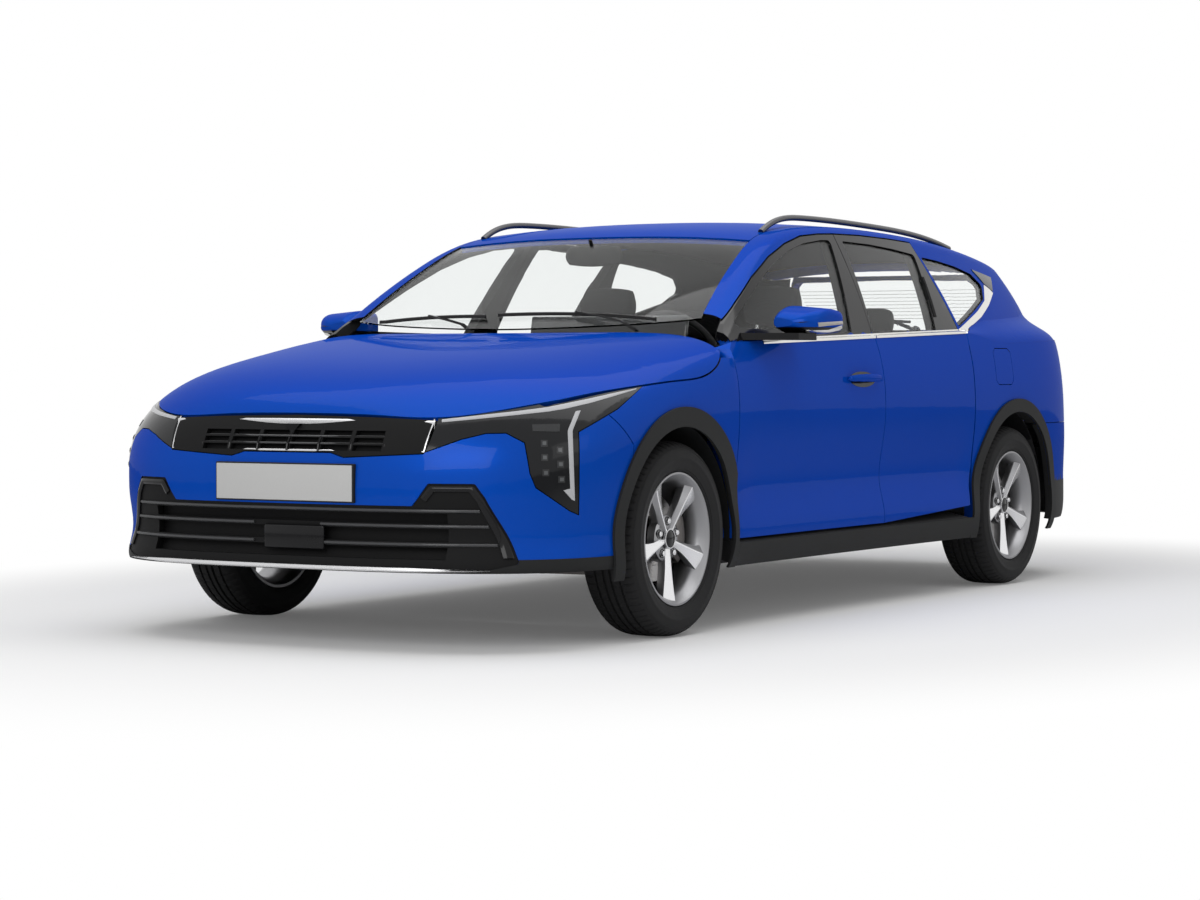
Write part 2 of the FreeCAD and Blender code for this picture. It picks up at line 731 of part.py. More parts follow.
front_door_line = [
    (DOOR_EDGE, DOOR_BOTTOM), (DOOR_EDGE, 500), (DOOR_EDGE, 700), (DOOR_EDGE, 850), (DOOR_EDGE, 930), (1012, 962),
    (945, 1016), (800, 1096), (640, 1180), (464, 1256), (300, 1308), (150, 1341), (0, corner_line(0)),
    (-125, corner_line(-125)), (-116, 1250), (-106, 1120), (-98, 1010), (DOOR_SPLIT + 4, 960), (DOOR_SPLIT, 850),
    (DOOR_SPLIT, 700), (DOOR_SPLIT, 500), (DOOR_SPLIT, DOOR_BOTTOM),
]
arch_run = []
for angle in (22, 12, 2):
    c, s = math.cos(math.radians(angle)), math.sin(math.radians(angle))
    arch_run.append((REAR_AXLE + DOOR_ARCH_R * c, AXLE_Z + DOOR_ARCH_R * s))
rear_door_line = [
    (DOOR_SPLIT, DOOR_BOTTOM), (DOOR_SPLIT, 500), (DOOR_SPLIT, 700), (DOOR_SPLIT, 850), (DOOR_SPLIT + 4, 960),
    (-98, 1010), (-106, 1120), (-116, 1250), (-125, corner_line(-125)), (-350, corner_line(-350)),
    (-600, corner_line(-600)), (-810, corner_line(-810)), (-842, 1200), (-872, 1090), (-889, 1010),
    (REAR_EDGE, 940), (REAR_EDGE, 800), (REAR_EDGE, 640),
] + arch_run


def door_prism(line, amount):
    """The slanted prism through a door's shut line, moved outwards by amount."""
    return side_prism(grown(line, amount), 0, 560, 1100, SLANT)


def window_prism(line, amount):
    return side_prism(grown(line, amount), 14, 500, 1100, 0.0)


FRONT_GLASS_LINE = [
    (935, 1001), (800, 1068), (640, 1149), (464, 1228), (300, 1282), (150, 1315), (0, 1332), (-74, 1334), (66, 993),
]
REAR_GLASS_LINE = [(-106, 997), (-172, 1334), (-400, 1330), (-600, 1319), (-784, 1303), (-672, 1008)]
QUARTER_GLASS_LINE = [
    (-912, 1024), (-838, 1296), (-1000, 1286), (-1180, 1268), (-1330, 1243), (-1398, 1198), (-1330, 1140), (-1180, 1098),
]


def door(line, window):
    form = door_prism(line, -GAP / 2)
    lower = lower_side.common(form)
    upper = upper_side.common(form).cut(window_prism(window, 0))
    return fused([lower, upper])


front_door = door(front_door_line, FRONT_GLASS_LINE)
rear_door = door(rear_door_line, REAR_GLASS_LINE)

# Glass of the doors, between the inner and outer face of the frames

glass_outer = side_grid(975, -1480, lambda x: belt_z(x) - 4, lambda x: corner_z(x) - 12, 40, 10, upper_y)
glass_sunk = inwards(glass_outer, 6, Vector(0, 0, 700))
glass_sheet = slab(glass_sunk, inwards(glass_outer, 6 + GLASS_T, Vector(0, 0, 700)))
front_glass = glass_sheet.common(window_prism(FRONT_GLASS_LINE, 0))
rear_glass = glass_sheet.common(window_prism(REAR_GLASS_LINE, 0))
quarter_glass = glass_sheet.common(window_prism(QUARTER_GLASS_LINE, 0))

# Body side: pillars, cantrail, quarter and sill

ROOF_DITCH = 64
PILLAR_T = 28
RAIL_START_X = 925


def closing(x):
    """How the upper body closes towards the tail at the roof's height."""
    if x >= REAR_AXLE:
        return 1.0
    return upper_y(x, corner_z(x)) / corner_y(x)


def shoulder_row(x, start, count):
    """Section of the upper body from a height on its side, over the corner, to the roof's ditch."""
    top = corner_z(x) - 36
    k = closing(x)
    side = Vector(x, upper_y(x, top), top)
    inner = corner_y(x) * k - 48
    roof = Vector(x, inner, top_z(x, inner / k))
    bend = Vector(x, upper_y(x, corner_z(x) - 2), corner_z(x) + 3)
    row = [Vector(x, upper_y(x, z), z) for z in steps(start, top, count)]
    for t in (0.2, 0.4, 0.6, 0.8):
        row.append(side * (1 - t) ** 2 + bend * (2 * t * (1 - t)) + roof * t**2)
    for t in (0.0, 0.5, 1.0):
        y = between(inner, corner_y(x) * k - ROOF_DITCH, t)
        row.append(Vector(x, y, top_z(x, y / k)))
    return row


upper_rows = [shoulder_row(x, belt_foot(x), 8) for x in steps(RAIL_START_X, -1790, 48)]
upper_body = slab(upper_rows, inwards(upper_rows, PILLAR_T, Vector(0, 0, 700)))
HOLE_INNER_Y = 580
HOLE_OUTER_Y = 1010
front_door_hole = side_prism(grown(front_door_line, GAP / 2), 0, HOLE_INNER_Y, HOLE_OUTER_Y, SLANT)
rear_door_hole = side_prism(grown(rear_door_line, GAP / 2), 0, HOLE_INNER_Y, HOLE_OUTER_Y, SLANT)
fender = fender.cut(front_door_hole).cut(hood).cut(moved(hood, Vector(0, GAP - 1, 0))).cut(moved(hood, Vector(0, GAP - 1, GAP - 1)))
fender = largest(fender.cut(moved(hood, Vector(1 - GAP, 0, 0))))
keep_pair("fender", fender)

GATE_ANGLE = 37


def rear_rows(z_low, z_high, half, start_x, high_angle, low_angle, nx, na, nz, point):
    rows = []
    for x in steps(start_x, REAR_AXLE - 90, nx):
        rows.append([Vector(x, half(x, z), z) for z in steps(z_low(x), z_high(x), nz)])
    for a in steps(math.radians(high_angle), math.radians(low_angle), na):
        x = point(a, 800).x
        rows.append([point(a, z) for z in steps(z_low(x), z_high(x), nz)])
    return rows


SHOULDER_RUN = 365  # over this length behind the rear door the haunch grows to its full height


def haunch(x):
    return smooth((REAR_EDGE - x) / SHOULDER_RUN) if x > REAR_EDGE - SHOULDER_RUN else 1.0


def haunch_low(x):
    """Height at which the shoulder leaves the side."""
    return belt_z(x) - between(12, 62, haunch(x))


quarter_low = rear_rows(lambda x: 240, lambda x: haunch_low(x) + 3, side_y, REAR_EDGE - GAP, 79, GATE_ANGLE, 12, 16, 16, tail_point)
quarter_wall = slab(quarter_low, inwards(quarter_low, FRAME_T, Vector(-1000, 0, 600)))


def pillar_point(a, z):
    c, s = math.cos(a), math.sin(a)

    def outside(r):
        x = REAR_AXLE - r * c
        if x <= tail_profile(z):
            return 1.0
        return r * s + TOUCH - upper_y(x, z)

    r = solve(outside, 150, 1200)
    return Vector(REAR_AXLE - r * c, r * s, z)


pillar_rows = []
for a in steps(math.radians(57), math.radians(GATE_ANGLE - 3), 14):
    pillar_rows.append([pillar_point(a, z) for z in steps(belt_z(-1900) - 34, 1262, 12)])
pillar_rows = inwards(pillar_rows, 2, Vector(-1000, 0, 900))
pillar_wall = slab(pillar_rows, inwards(pillar_rows, SKIN_T, Vector(-1000, 0, 900)))



def shoulder_line(low, high, outward, x):
    """Section of the haunch from the side up to the foot of the glass; both ends dip under what they meet."""
    share = haunch(x)
    belt = belt_z(x)
    rise = between(3, 45, share)
    start = low(haunch_low(x) - 8) - outward * 3
    swell = low(belt - 0.2 * (belt - haunch_low(x))) + outward * 5 * share
    fall = high(belt + 0.1 * rise) + outward * 8
    end = high(belt + rise) - outward * 3
    line = []
    for t in steps(0, 1, 11):
        k = 1 - t
        line.append(start * k**3 + swell * (3 * k * k * t) + fall * (3 * k * t * t) + end * t**3)
    return line


shoulder_rows = []
for x in steps(REAR_EDGE - GAP, REAR_AXLE - 90, 14):
    side = lambda z, x=x: Vector(x, side_y(x, z), z)
    foot = lambda z, x=x: Vector(x, upper_y(x, z), z)
    shoulder_rows.append(shoulder_line(side, foot, Vector(0, 1, 0), x))
for a in steps(math.radians(79), math.radians(GATE_ANGLE + 0.4), 16):
    side = lambda z, a=a: tail_point(a, z)
    foot = lambda z, a=a: pillar_point(a, z)
    outward = Vector(-math.cos(a), math.sin(a), 0)
    shoulder_rows.append(shoulder_line(side, foot, outward, tail_point(a, 900).x))
shoulder = slab(shoulder_rows, shifted(inwards(shoulder_rows, 3, Vector(-1000, 0, 600)), Vector(0, -4, -9)))
quarter_window = window_prism(QUARTER_GLASS_LINE, 0)
upper_body = upper_body.cut(front_door_hole).cut(rear_door_hole).cut(quarter_window)
quarter_wall = quarter_wall.cut(rear_arch).cut(rear_door_hole)
shoulder = largest(shoulder.cut(quarter_window).cut(rear_door_hole))
pillar_wall = pillar_wall.cut(quarter_window)

TAIL_LAMP = [(-1985, 905), (-2100, 912), (-2330, 900), (-2360, 800), (-2240, 772), (-2120, 780), (-2040, 820)]
tail_lamp_hole = side_prism(grown(TAIL_LAMP, SEAM / 2), 0, -100, 1200)
tail_lamp_form = side_prism(grown(TAIL_LAMP, SEAM / 2 - SEAT), 0, -100, 1200)
tail_lamp = quarter_wall.common(tail_lamp_form)
BUMPER_TOP = 640
rear_above = block(-2600, -850, 0, 1100, BUMPER_TOP + SEAM / 2, 1400)
quarter_front = block(REAR_AXLE - 150, -850, 0, 1100, 100, 700)
quarter_wall = fused([quarter_wall.common(rear_above), quarter_wall.common(quarter_front)]).cut(tail_lamp_hole)

FLAP_LINE = [(-1120, 940), (-1240, 940), (-1262, 925), (-1262, 815), (-1240, 800), (-1120, 800), (-1098, 815), (-1098, 925)]
flap_hole = side_prism(grown(FLAP_LINE, SEAM), 0, 700, 1200)
flap_form = side_prism(grown(FLAP_LINE, 0), 0, 700, 1200)
FLAP_T = 12
flap_skin = wall(-1050, -1310, lambda x: 780, lambda x: 960, FLAP_T, 9, 7)
fuel_flap = flap_skin.common(flap_form)
flap_stop = seated(block(-1112, -1080, 858, 893, 840, 900), fuel_flap, Vector(0, 1, 0))
left_quarter = fused([quarter_wall.cut(flap_hole), flap_stop])
body_left = fused([upper_body, left_quarter, pillar_wall, shoulder.cut(flap_hole)])
body_right = mirrored(fused([upper_body, quarter_wall, pillar_wall, shoulder]))

# Rear bumper

bumper_rows = ring(tail_point, -84, 84, lambda a: 245, lambda a: BUMPER_TOP - SEAM / 2, SKIN_T, 45, 11)
rear_cover = slab(bumper_rows, inwards(bumper_rows, SKIN_T, Vector(-1500, 0, 450)))
rear_arch_right = mirrored(rear_arch)
rear_cover = rear_cover.cut(rear_arch).cut(rear_arch_right).common(block(-2600, REAR_AXLE - 200, -1100, 1100, 100, 900))

# Roof and windscreen


def top_grid(x_front, x_rear, edge, nx, ny):
    """Points of the roof or windscreen between two curved cross lines."""
    rows = []
    for v in steps(0, 1, nx):
        row = []
        for u in steps(-1, 1, ny):
            x = between(x_front(u), x_rear(u), v)
            y = u * edge(x)
            row.append(Vector(x, y, top_z(x, y)))
        rows.append(row)
    return rows


SCREEN_BASE = 1095
HEADER_X = 452
ROOF_REAR = -1785
ditch = lambda x: corner_y(x) * closing(x) - ROOF_DITCH - SEAM
header = lambda u: HEADER_X - 28 * u * u
roof_grid = top_grid(lambda u: header(u) - SEAM, lambda u: ROOF_REAR - 10 * (1 - u * u), ditch, 30, 17)
roof = slab(roof_grid, inwards(roof_grid, ROOF_T, Vector(-600, 0, 900)))
screen_grid = top_grid(lambda u: SCREEN_BASE - 150 * u * u, header, lambda x: corner_y(x) - ROOF_DITCH - SEAT, 18, 17)
screen_grid = inwards(screen_grid, 4, Vector(-600, 0, 900))
windscreen = slab(screen_grid, inwards(screen_grid, GLASS_T + 1, Vector(-600, 0, 900)))

# Tailgate

GATE_T = 46
GATE_TOP = 1262

gate_low = ring(tail_point, -GATE_ANGLE + 0.8, GATE_ANGLE - 0.8, lambda a: BUMPER_TOP + 5, lambda a: 1012, 10, 25, 14)
gate_lower = slab(gate_low, inwards(gate_low, GATE_T, Vector(-1500, 0, 800)))
gate_high = ring(pillar_point, -GATE_ANGLE + 3.8, GATE_ANGLE - 3.8, lambda a: 1012, lambda a: GATE_TOP, 10, 25, 12)
gate_upper = slab(gate_high, inwards(gate_high, GATE_T, Vector(-1500, 0, 1000)))
BACKLIGHT = [(0, 1030), (430, 1034), (470, 1060), (430, 1216), (405, 1236), (0, 1244)]
backlight_line = BACKLIGHT + [(-y, z) for y, z in reversed(BACKLIGHT) if y > 0]


def rear_prism(points, x0=-2600, x1=-1700, radius=0.0):
    return prism([Vector(x0, y, z) for y, z in points], Vector(x1 - x0, 0, 0), radius)


backlight_hole = rear_prism(backlight_line, radius=20)
gate_upper = gate_upper.cut(backlight_hole)
gate_glass_rows = inwards(gate_high, 6, Vector(-1500, 0, 1000))
gate_glass = slab(gate_glass_rows, inwards(gate_high, 6 + GLASS_T, Vector(-1500, 0, 1000))).common(backlight_hole)
spoiler_grid = top_grid(lambda u: ROOF_REAR - 10 * (1 - u * u) - 8, lambda u: -2010 + 60 * u * u, lambda x: corner_y(x) - ROOF_DITCH + 20, 9, 15)
spoiler = slab(spoiler_grid, inwards(spoiler_grid, 30, Vector(-1500, 0, 900)))
tailgate = fused([gate_lower, gate_upper, spoiler])
spoiler_clear = top_grid(
    lambda u: ROOF_REAR - 10 * (1 - u * u) + 2, lambda u: -2030 + 60 * u * u, lambda x: corner_y(x) - ROOF_DITCH + 20 + GAP, 9, 15
)
clear_low = ring(tail_point, -GATE_ANGLE + 0.45, GATE_ANGLE - 0.45, lambda a: BUMPER_TOP, lambda a: 1018, 10, 25, 14)
clear_high = ring(pillar_point, -GATE_ANGLE + 3.45, GATE_ANGLE - 3.45, lambda a: 1000, lambda a: GATE_TOP + 6, 10, 25, 12)
gate_spaces = [slab(shifted(spoiler_clear, Vector(0, 0, 30)), inwards(spoiler_clear, 30 + GAP, Vector(-1500, 0, 900)))]
for rows in (clear_low, clear_high):
    gate_spaces.append(slab(inwards(rows, -20, Vector(-1500, 0, 800)), inwards(rows, GATE_T + 8, Vector(-1500, 0, 800))))
for space in gate_spaces:
    body_left = body_left.cut(space)
    body_right = body_right.cut(space)


# Turned and padded pieces, drawn from the sizes in the sheet


def profile(body, label, plane, corners):
    """A closed sketch on one of the body's planes; each corner is a pair of sheet expressions."""
    sketch = body.newObject("Sketcher::SketchObject", label)
    base = [f for f in body.Origin.OriginFeatures if f.Name.startswith(plane)][0]
    sketch.AttachmentSupport = [(base, "")]
    sketch.MapMode = "FlatFace"
    places = [(evaluate(a), evaluate(b)) for a, b in corners]
    count = len(places)
    for i in range(count):
        a, b = places[i], places[(i + 1) % count]
        sketch.addGeometry(Part.LineSegment(Vector(a[0], a[1], 0), Vector(b[0], b[1], 0)), False)
    for i in range(count):
        sketch.addConstraint(Sketcher.Constraint("Coincident", i, 2, (i + 1) % count, 1))
    for i in range(count):
        for kind, text, value in (("DistanceX", corners[i][0], places[i][0]), ("DistanceY", corners[i][1], places[i][1])):
            index = sketch.addConstraint(Sketcher.Constraint(kind, -1, 1, i, 1, value))
            sketch.setExpression("Constraints[%d]" % index, text)
    return sketch


def evaluate(text):
    """Value of a sheet expression made of named sizes, numbers, + - * and /."""
    return float(sheet.evalExpression(text.replace("Sizes.", "")))


def turned(label, corners, axis="V_Axis"):
    """A body turned about its own Y axis from (radius, width) corners."""
    body = doc.addObject("PartDesign::Body", label)
    sketch = profile(body, label + "_profile", "XY_Plane", corners)
    turn = body.newObject("PartDesign::Revolution", label + "_turn")
    turn.Profile = sketch
    turn.ReferenceAxis = (sketch, [axis])
    turn.Angle = 360
    body.Tip = turn
    return body


TYRE_PROFILE = [
    ("Sizes.rim_radius + 6", "-Sizes.rim_width / 2 + 9.3"),
    ("Sizes.rim_radius + 13.4", "-Sizes.rim_width / 2 + 9.3"),
    ("Sizes.rim_radius + 18", "-Sizes.tyre_width / 2 + 14"),
    ("Sizes.tyre_radius - 60", "-Sizes.tyre_width / 2"),
    ("Sizes.tyre_radius - 22", "-Sizes.tyre_width / 2 + 9"),
    ("Sizes.tyre_radius - 4", "-Sizes.tyre_width / 2 + 26"),
    ("Sizes.tyre_radius", "-Sizes.tyre_width / 2 + 52"),
    ("Sizes.tyre_radius", "Sizes.tyre_width / 2 - 52"),
    ("Sizes.tyre_radius - 4", "Sizes.tyre_width / 2 - 26"),
    ("Sizes.tyre_radius - 22", "Sizes.tyre_width / 2 - 9"),
    ("Sizes.tyre_radius - 60", "Sizes.tyre_width / 2"),
    ("Sizes.rim_radius + 18", "Sizes.tyre_width / 2 - 14"),
    ("Sizes.rim_radius + 13.4", "Sizes.rim_width / 2 - 9.3"),
    ("Sizes.rim_radius + 6", "Sizes.rim_width / 2 - 9.3"),
]
RIM_PROFILE = [
    ("Sizes.rim_radius + 13", "-Sizes.rim_width / 2"),
    ("Sizes.rim_radius + 13", "-Sizes.rim_width / 2 + 8"),
    ("Sizes.rim_radius + 5.7", "-Sizes.rim_width / 2 + 9"),
    ("Sizes.rim_radius + 5.7", "-Sizes.rim_width / 2 + 26"),
    ("Sizes.rim_radius - 14", "-Sizes.rim_width / 2 + 44"),
    ("Sizes.rim_radius - 14", "Sizes.rim_width / 2 - 44"),
    ("Sizes.rim_radius + 5.7", "Sizes.rim_width / 2 - 26"),
    ("Sizes.rim_radius + 5.7", "Sizes.rim_width / 2 - 9"),
    ("Sizes.rim_radius + 13", "Sizes.rim_width / 2 - 8"),
    ("Sizes.rim_radius + 13", "Sizes.rim_width / 2"),
    ("Sizes.rim_radius + 6", "Sizes.rim_width / 2"),
    ("Sizes.rim_radius - 6", "Sizes.rim_width / 2 - 12"),
    ("Sizes.rim_radius - 20", "Sizes.rim_width / 2 - 40"),
    ("Sizes.rim_radius - 20", "-Sizes.rim_width / 2 + 42"),
    ("Sizes.rim_radius - 6", "-Sizes.rim_width / 2 + 10"),
    ("Sizes.rim_radius + 4", "-Sizes.rim_width / 2"),
]

TRACK_Y = size("track") / 2
PIN_R = 17
RUNNING = 0.05
SPOKES = 5
NUTS = 5
NUT_CIRCLE = 114.3
NUT_HOLE_R = 7.5


def spoke_wheel():
    """Rim, spokes, hub and brake disc in the wheel's own frame, +Y outwards."""
    barrel = turned("rim_barrel", RIM_PROFILE)
    hub = turned("rim_hub", [
        ("0", "Sizes.rim_width / 2 - 22"), ("0", "-90"), ("17", "-90"), ("17", "-34"), ("32", "-34"), ("32", "-19"),
        ("140", "-19"), ("140", "3"), ("78", "3"), ("78", "20"), ("74", "45"), ("76", "Sizes.rim_width / 2 - 34"),
        ("34", "Sizes.rim_width / 2 - 22"),
    ])
    spoke_body = doc.addObject("PartDesign::Body", "rim_spokes")
    half = [("9", "60"), ("16", "110"), ("34", "Sizes.rim_radius - 12"), ("50", "Sizes.rim_radius - 16"),
            ("31", "106"), ("26", "60")]
    legs = []
    for sign in ("", "-"):
        sketch = profile(spoke_body, "leg" + ("_a" if sign else "_b"), "XZ_Plane", [(sign + a, b) for a, b in half])
        leg = spoke_body.newObject("PartDesign::Pad", "spoke_leg")
        leg.Profile = sketch
        leg.Length = 30
        sketch.AttachmentOffset = Placement(Vector(0, 0, -(size("rim_width") / 2 - 6)), Rotation())
        leg.Reversed = False
        legs.append(leg)
    pattern = spoke_body.newObject("PartDesign::PolarPattern", "spoke_pattern")
    pattern.Originals = legs
    pattern.Axis = ([f for f in spoke_body.Origin.OriginFeatures if f.Name.startswith("Y_Axis")][0], [""])
    pattern.Angle = 360
    pattern.Occurrences = SPOKES
    spoke_body.Tip = pattern
    doc.recompute()
    wheel = fused([barrel.Shape, hub.Shape, spoke_body.Shape])
    for i in range(NUTS):
        angle = 2 * math.pi * (i + 0.5) / NUTS + math.pi / 2
        centre = Vector(NUT_CIRCLE / 2 * math.cos(angle), -60, NUT_CIRCLE / 2 * math.sin(angle))
        wheel = wheel.cut(Part.makeCylinder(NUT_HOLE_R, 200, centre, Vector(0, 1, 0)))
    return wheel


wheel_shape = spoke_wheel()
tyre_body = turned("tyre", TYRE_PROFILE)
doc.recompute()
tyre_shape = tyre_body.Shape


def keep_at(label, shape, placement):
    node = keep(label, shape)
    node.Placement = placement
    return node


for end, x in (("front", FRONT_AXLE), ("rear", REAR_AXLE)):
    for side, turn, y in (("left", 0, TRACK_Y), ("right", 180, -TRACK_Y)):
        place = Placement(Vector(x, y, AXLE_Z), Rotation(Vector(0, 0, 1), turn))
        keep_at("wheel_%s_%s" % (end, side), wheel_shape, place)
        keep_at("tyre_%s_%s" % (end, side), tyre_shape, place)

# Steering knuckles with the lower part of their struts

BALL = Vector(FRONT_AXLE, 742, 205)
STRUT_TOP = Vector(FRONT_AXLE, 600, 800)
kingpin = STRUT_TOP - BALL
kingpin.normalize()


def on_kingpin(z):
    return BALL + kingpin * ((z - BALL.z) / kingpin.z)


def carrier(x):
    """The drum that carries the wheel's spindle."""
    drum_out = Part.makeCylinder(46, 50, Vector(x, TRACK_Y - 92, AXLE_Z), Vector(0, 1, 0))
    return drum_out, Part.makeCylinder(PIN_R + RUNNING, 90, Vector(x, TRACK_Y - 110, AXLE_Z), Vector(0, 1, 0))


drum_out, bore = carrier(FRONT_AXLE)
leg_low = block(FRONT_AXLE - 20, FRONT_AXLE + 20, 724, 752, 222, 300)
leg_high = block(FRONT_AXLE - 22, FRONT_AXLE + 22, 660, 740, 350, 470)
tube = Part.makeCylinder(22, 215, on_kingpin(430), kingpin)
piston = Part.makeCylinder(10, (800 - 630) / kingpin.z, on_kingpin(630), kingpin)
ball_pin = Part.makeCylinder(9, 40, on_kingpin(188), kingpin)
knuckle = fused([drum_out, leg_low, leg_high, tube, piston, ball_pin]).cut(bore)
keep_pair("knuckle", knuckle)

# Front subframe with the lower arms

arm_plate = prism(
    [Vector(FRONT_AXLE - 17, 761, 192), Vector(FRONT_AXLE - 34, 718, 192), Vector(FRONT_AXLE - 38, 640, 192),
     Vector(FRONT_AXLE - 190, 400, 192), Vector(FRONT_AXLE + 60, 400, 192), Vector(FRONT_AXLE + 34, 640, 192),
     Vector(FRONT_AXLE + 30, 718, 192), Vector(FRONT_AXLE + 17, 761, 192)],
    Vector(0, 0, 20), 8,
)
arm_plate = arm_plate.cut(Part.makeCylinder(9 + RUNNING, 80, on_kingpin(170), kingpin))
cross = block(FRONT_AXLE - 200, FRONT_AXLE + 70, -420, 420, 192, 262)
subframe = fused([cross, arm_plate, mirrored(arm_plate)])
keep("front_subframe", subframe)

# Rear axle

drum_rear, bore_rear = carrier(REAR_AXLE)
trail = block(REAR_AXLE - 40, REAR_AXLE + 420, 600, 660, 270, 340)
stub = block(REAR_AXLE - 45, REAR_AXLE + 45, 640, 712, 275, 357)
half_axle = fused([drum_rear, stub, trail])
beam = block(REAR_AXLE + 160, REAR_AXLE + 240, -620, 620, 270, 330)
rear_axle = fused([half_axle, mirrored(half_axle), beam]).cut(bore_rear).cut(mirrored(bore_rear))
keep("rear_axle", rear_axle)

cowl_rows = top_grid(lambda u: LID_REAR_X + 25 - 40 * u * u, lambda u: SCREEN_BASE + 4 - 60 * u * u, lambda x: 700, 4, 15)
cowl = slab(shifted(cowl_rows, Vector(0, 0, -28)), shifted(cowl_rows, Vector(0, 0, -50)))
keep("cowl", cowl)

# Floor, sills, firewall, wheelhouses and load floor

SILL_TOP = size("sill_top")
SILL_BOTTOM = size("sill_bottom")
WHEELHOUSE_R = 386
FLOOR_Z = 222
POST_Y = 748
POST_TOP = 992
BENCH_REAR = -1120
LOAD_Z = 548
floor = block(REAR_AXLE + 520, 1010, -735, 735, 200, FLOOR_Z)
sill = wall(1032, REAR_AXLE + 460, lambda x: SILL_BOTTOM + 4, lambda x: SILL_TOP, 140, 14, 5)
sill = largest(sill.cut(front_door_hole).cut(rear_door_hole))
sill_link = block(REAR_AXLE + 540, 1010, 700, 800, 212, 240)
upper_hinge = seated(block(985, 1018, 740, 900, 700, 760), front_door, Vector(0, 1, 0))
lower_hinge = seated(block(985, 1018, 740, 900, 400, 460), front_door, Vector(0, 1, 0))
rear_hinges = [seated(block(-172, -144, 740, 900, z, z + 60), rear_door, Vector(0, 1, 0)) for z in (400, 700)]
gate_striker = seated(block(-2300, -2200, -35, 35, LOAD_Z + 100, LOAD_Z + 130), tailgate, Vector(-1, 0, 0))
striker_post = block(-2205, -2185, -35, 35, LOAD_Z - 20, LOAD_Z + 130)
hinge_post = block(960, 1026, 690, POST_Y, FLOOR_Z - 10, 905)
hinge_wall = seated(block(1076, 1096, 560, 890, 690, 850), fender, Vector(0, 1, 0))
firewall = block(1010, 1028, -735, 735, 200, 900)
bulkhead = block(1020, 1096, -735, 735, 690, 710)
b_post = block(-160, -60, 690, POST_Y, FLOOR_Z - 10, POST_TOP - 0.3)
seat_riser = block(BENCH_REAR, -752, -700, 700, 360, 380)
riser_front = block(-772, -752, -700, 700, 200, 380)
arm_seat = block(-900, -862, 605, 655, 340.3, 362)
rear_floor = prism(
    [Vector(BENCH_REAR, -705, LOAD_Z), Vector(BENCH_REAR, 705, LOAD_Z), Vector(-2030, 705, LOAD_Z),
     Vector(-2190, 540, LOAD_Z), Vector(-2190, -540, LOAD_Z), Vector(-2030, -705, LOAD_Z)], Vector(0, 0, -20)
)
rear_back = block(-2205, -2185, -520, 520, 300, LOAD_Z)
well = block(-2100, REAR_AXLE - 420, -380, 380, 330, LOAD_Z)
well_space = block(-2090, REAR_AXLE - 430, -370, 370, 340, LOAD_Z + 5)
riser_wall = block(BENCH_REAR, BENCH_REAR + 18, -700, 700, 360, LOAD_Z)
rear_rail = block(-2190, BENCH_REAR, 420, 500, 440, LOAD_Z - 10)
HOUSE_Y0, HOUSE_Y1, HOUSE_T = 516, 850, 6
house = Part.makeCylinder(WHEELHOUSE_R + HOUSE_T, HOUSE_Y1 - HOUSE_Y0, Vector(REAR_AXLE, HOUSE_Y0, AXLE_Z), Vector(0, 1, 0))
house_space = Part.makeCylinder(WHEELHOUSE_R, 600, Vector(REAR_AXLE, HOUSE_Y0 + HOUSE_T, AXLE_Z), Vector(0, 1, 0))
house = house.cut(house_space).cut(block(-2600, 0, 0, 1200, -200, 300))
cowl_post = seated(block(1076, 1096, 540, 640, 700, 925), cowl, Vector(0, 0, 1))
side_parts = [sill, sill_link, hinge_post, hinge_wall, b_post, arm_seat, rear_rail, upper_hinge, lower_hinge, cowl_post] + rear_hinges
pieces = [floor, firewall, bulkhead, seat_riser, riser_front, riser_wall, rear_floor, rear_back, well, gate_striker,
          striker_post]
for piece in side_parts:
    pieces += [piece, mirrored(piece)]
under = fused(pieces).cut(well_space).cut(house_space).cut(mirrored(house_space))
arm_slot = fused([block(-1165, -880, 592, 668, 285, 352), block(-1165, -1040, 500, 600, 285, 345)])
under = fused([under, house, mirrored(house)]).cut(front_arch).cut(mirrored(front_arch))
under = largest(under.cut(arm_slot).cut(mirrored(arm_slot)))
keep("floor_pan", under)

# Front structure and engine

ENGINE_HALF = 320

rail = block(1028.3, 2190, 380, 445, 400, 500)
tower = block(FRONT_AXLE - 75, FRONT_AXLE + 75, 440, 690, 800, 818)
tower_wall = block(FRONT_AXLE - 75, FRONT_AXLE + 75, 440, 450, 440, 800)
tower = tower.cut(Part.makeCylinder(10 + RUNNING, 80, on_kingpin(770), kingpin))
wing_rail = block(1096.3, 1780, 690, 730, 690, 725)
support = block(2120, 2150, -560, 560, 250, 300)
support_top = block(2100, 2150, -560, 560, 640, 690)
support_side = block(2120, 2150, 470, 560, 250, 690)
beam_front = block(2190, 2230, -480, 480, 420, 500)
fender_bracket = seated(block(1490, 1540, 720, 930, 700, 725), fender, Vector(0, 1, 0))
lamp_bracket = seated(block(2105, 2240, 500, 556, 640, 660), lamp, Vector(1, 0, 0))
engine_foot = block(1700, 1770, ENGINE_HALF + 0.3, 385, 430, 480)
support_link = block(2120, 2150, 440, 475, 410, 490)
wing_link = block(1760, 1780, 540, 700, 690, 725)
nose_link = block(1760, 2110, 540, 560, 660, 695)
hood_hinge = seated(block(1140, 1180, 700, 730, 720, 980), hood, Vector(0, 0, 1))
pieces = [support, support_top, beam_front]
tower_side = block(FRONT_AXLE - 75, FRONT_AXLE + 75, 680, 700, 715, 818)
for piece in (rail, tower, tower_wall, tower_side, wing_rail, support_side, support_link, fender_bracket,
              lamp_bracket, engine_foot, wing_link, nose_link, hood_hinge):
    pieces += [piece, mirrored(piece)]
front_frame = fused(pieces)
keep("front_frame", front_frame)
engine = doc.addObject("Part::Box", "engine_block")
engine.Length = 470
engine.Width = 640
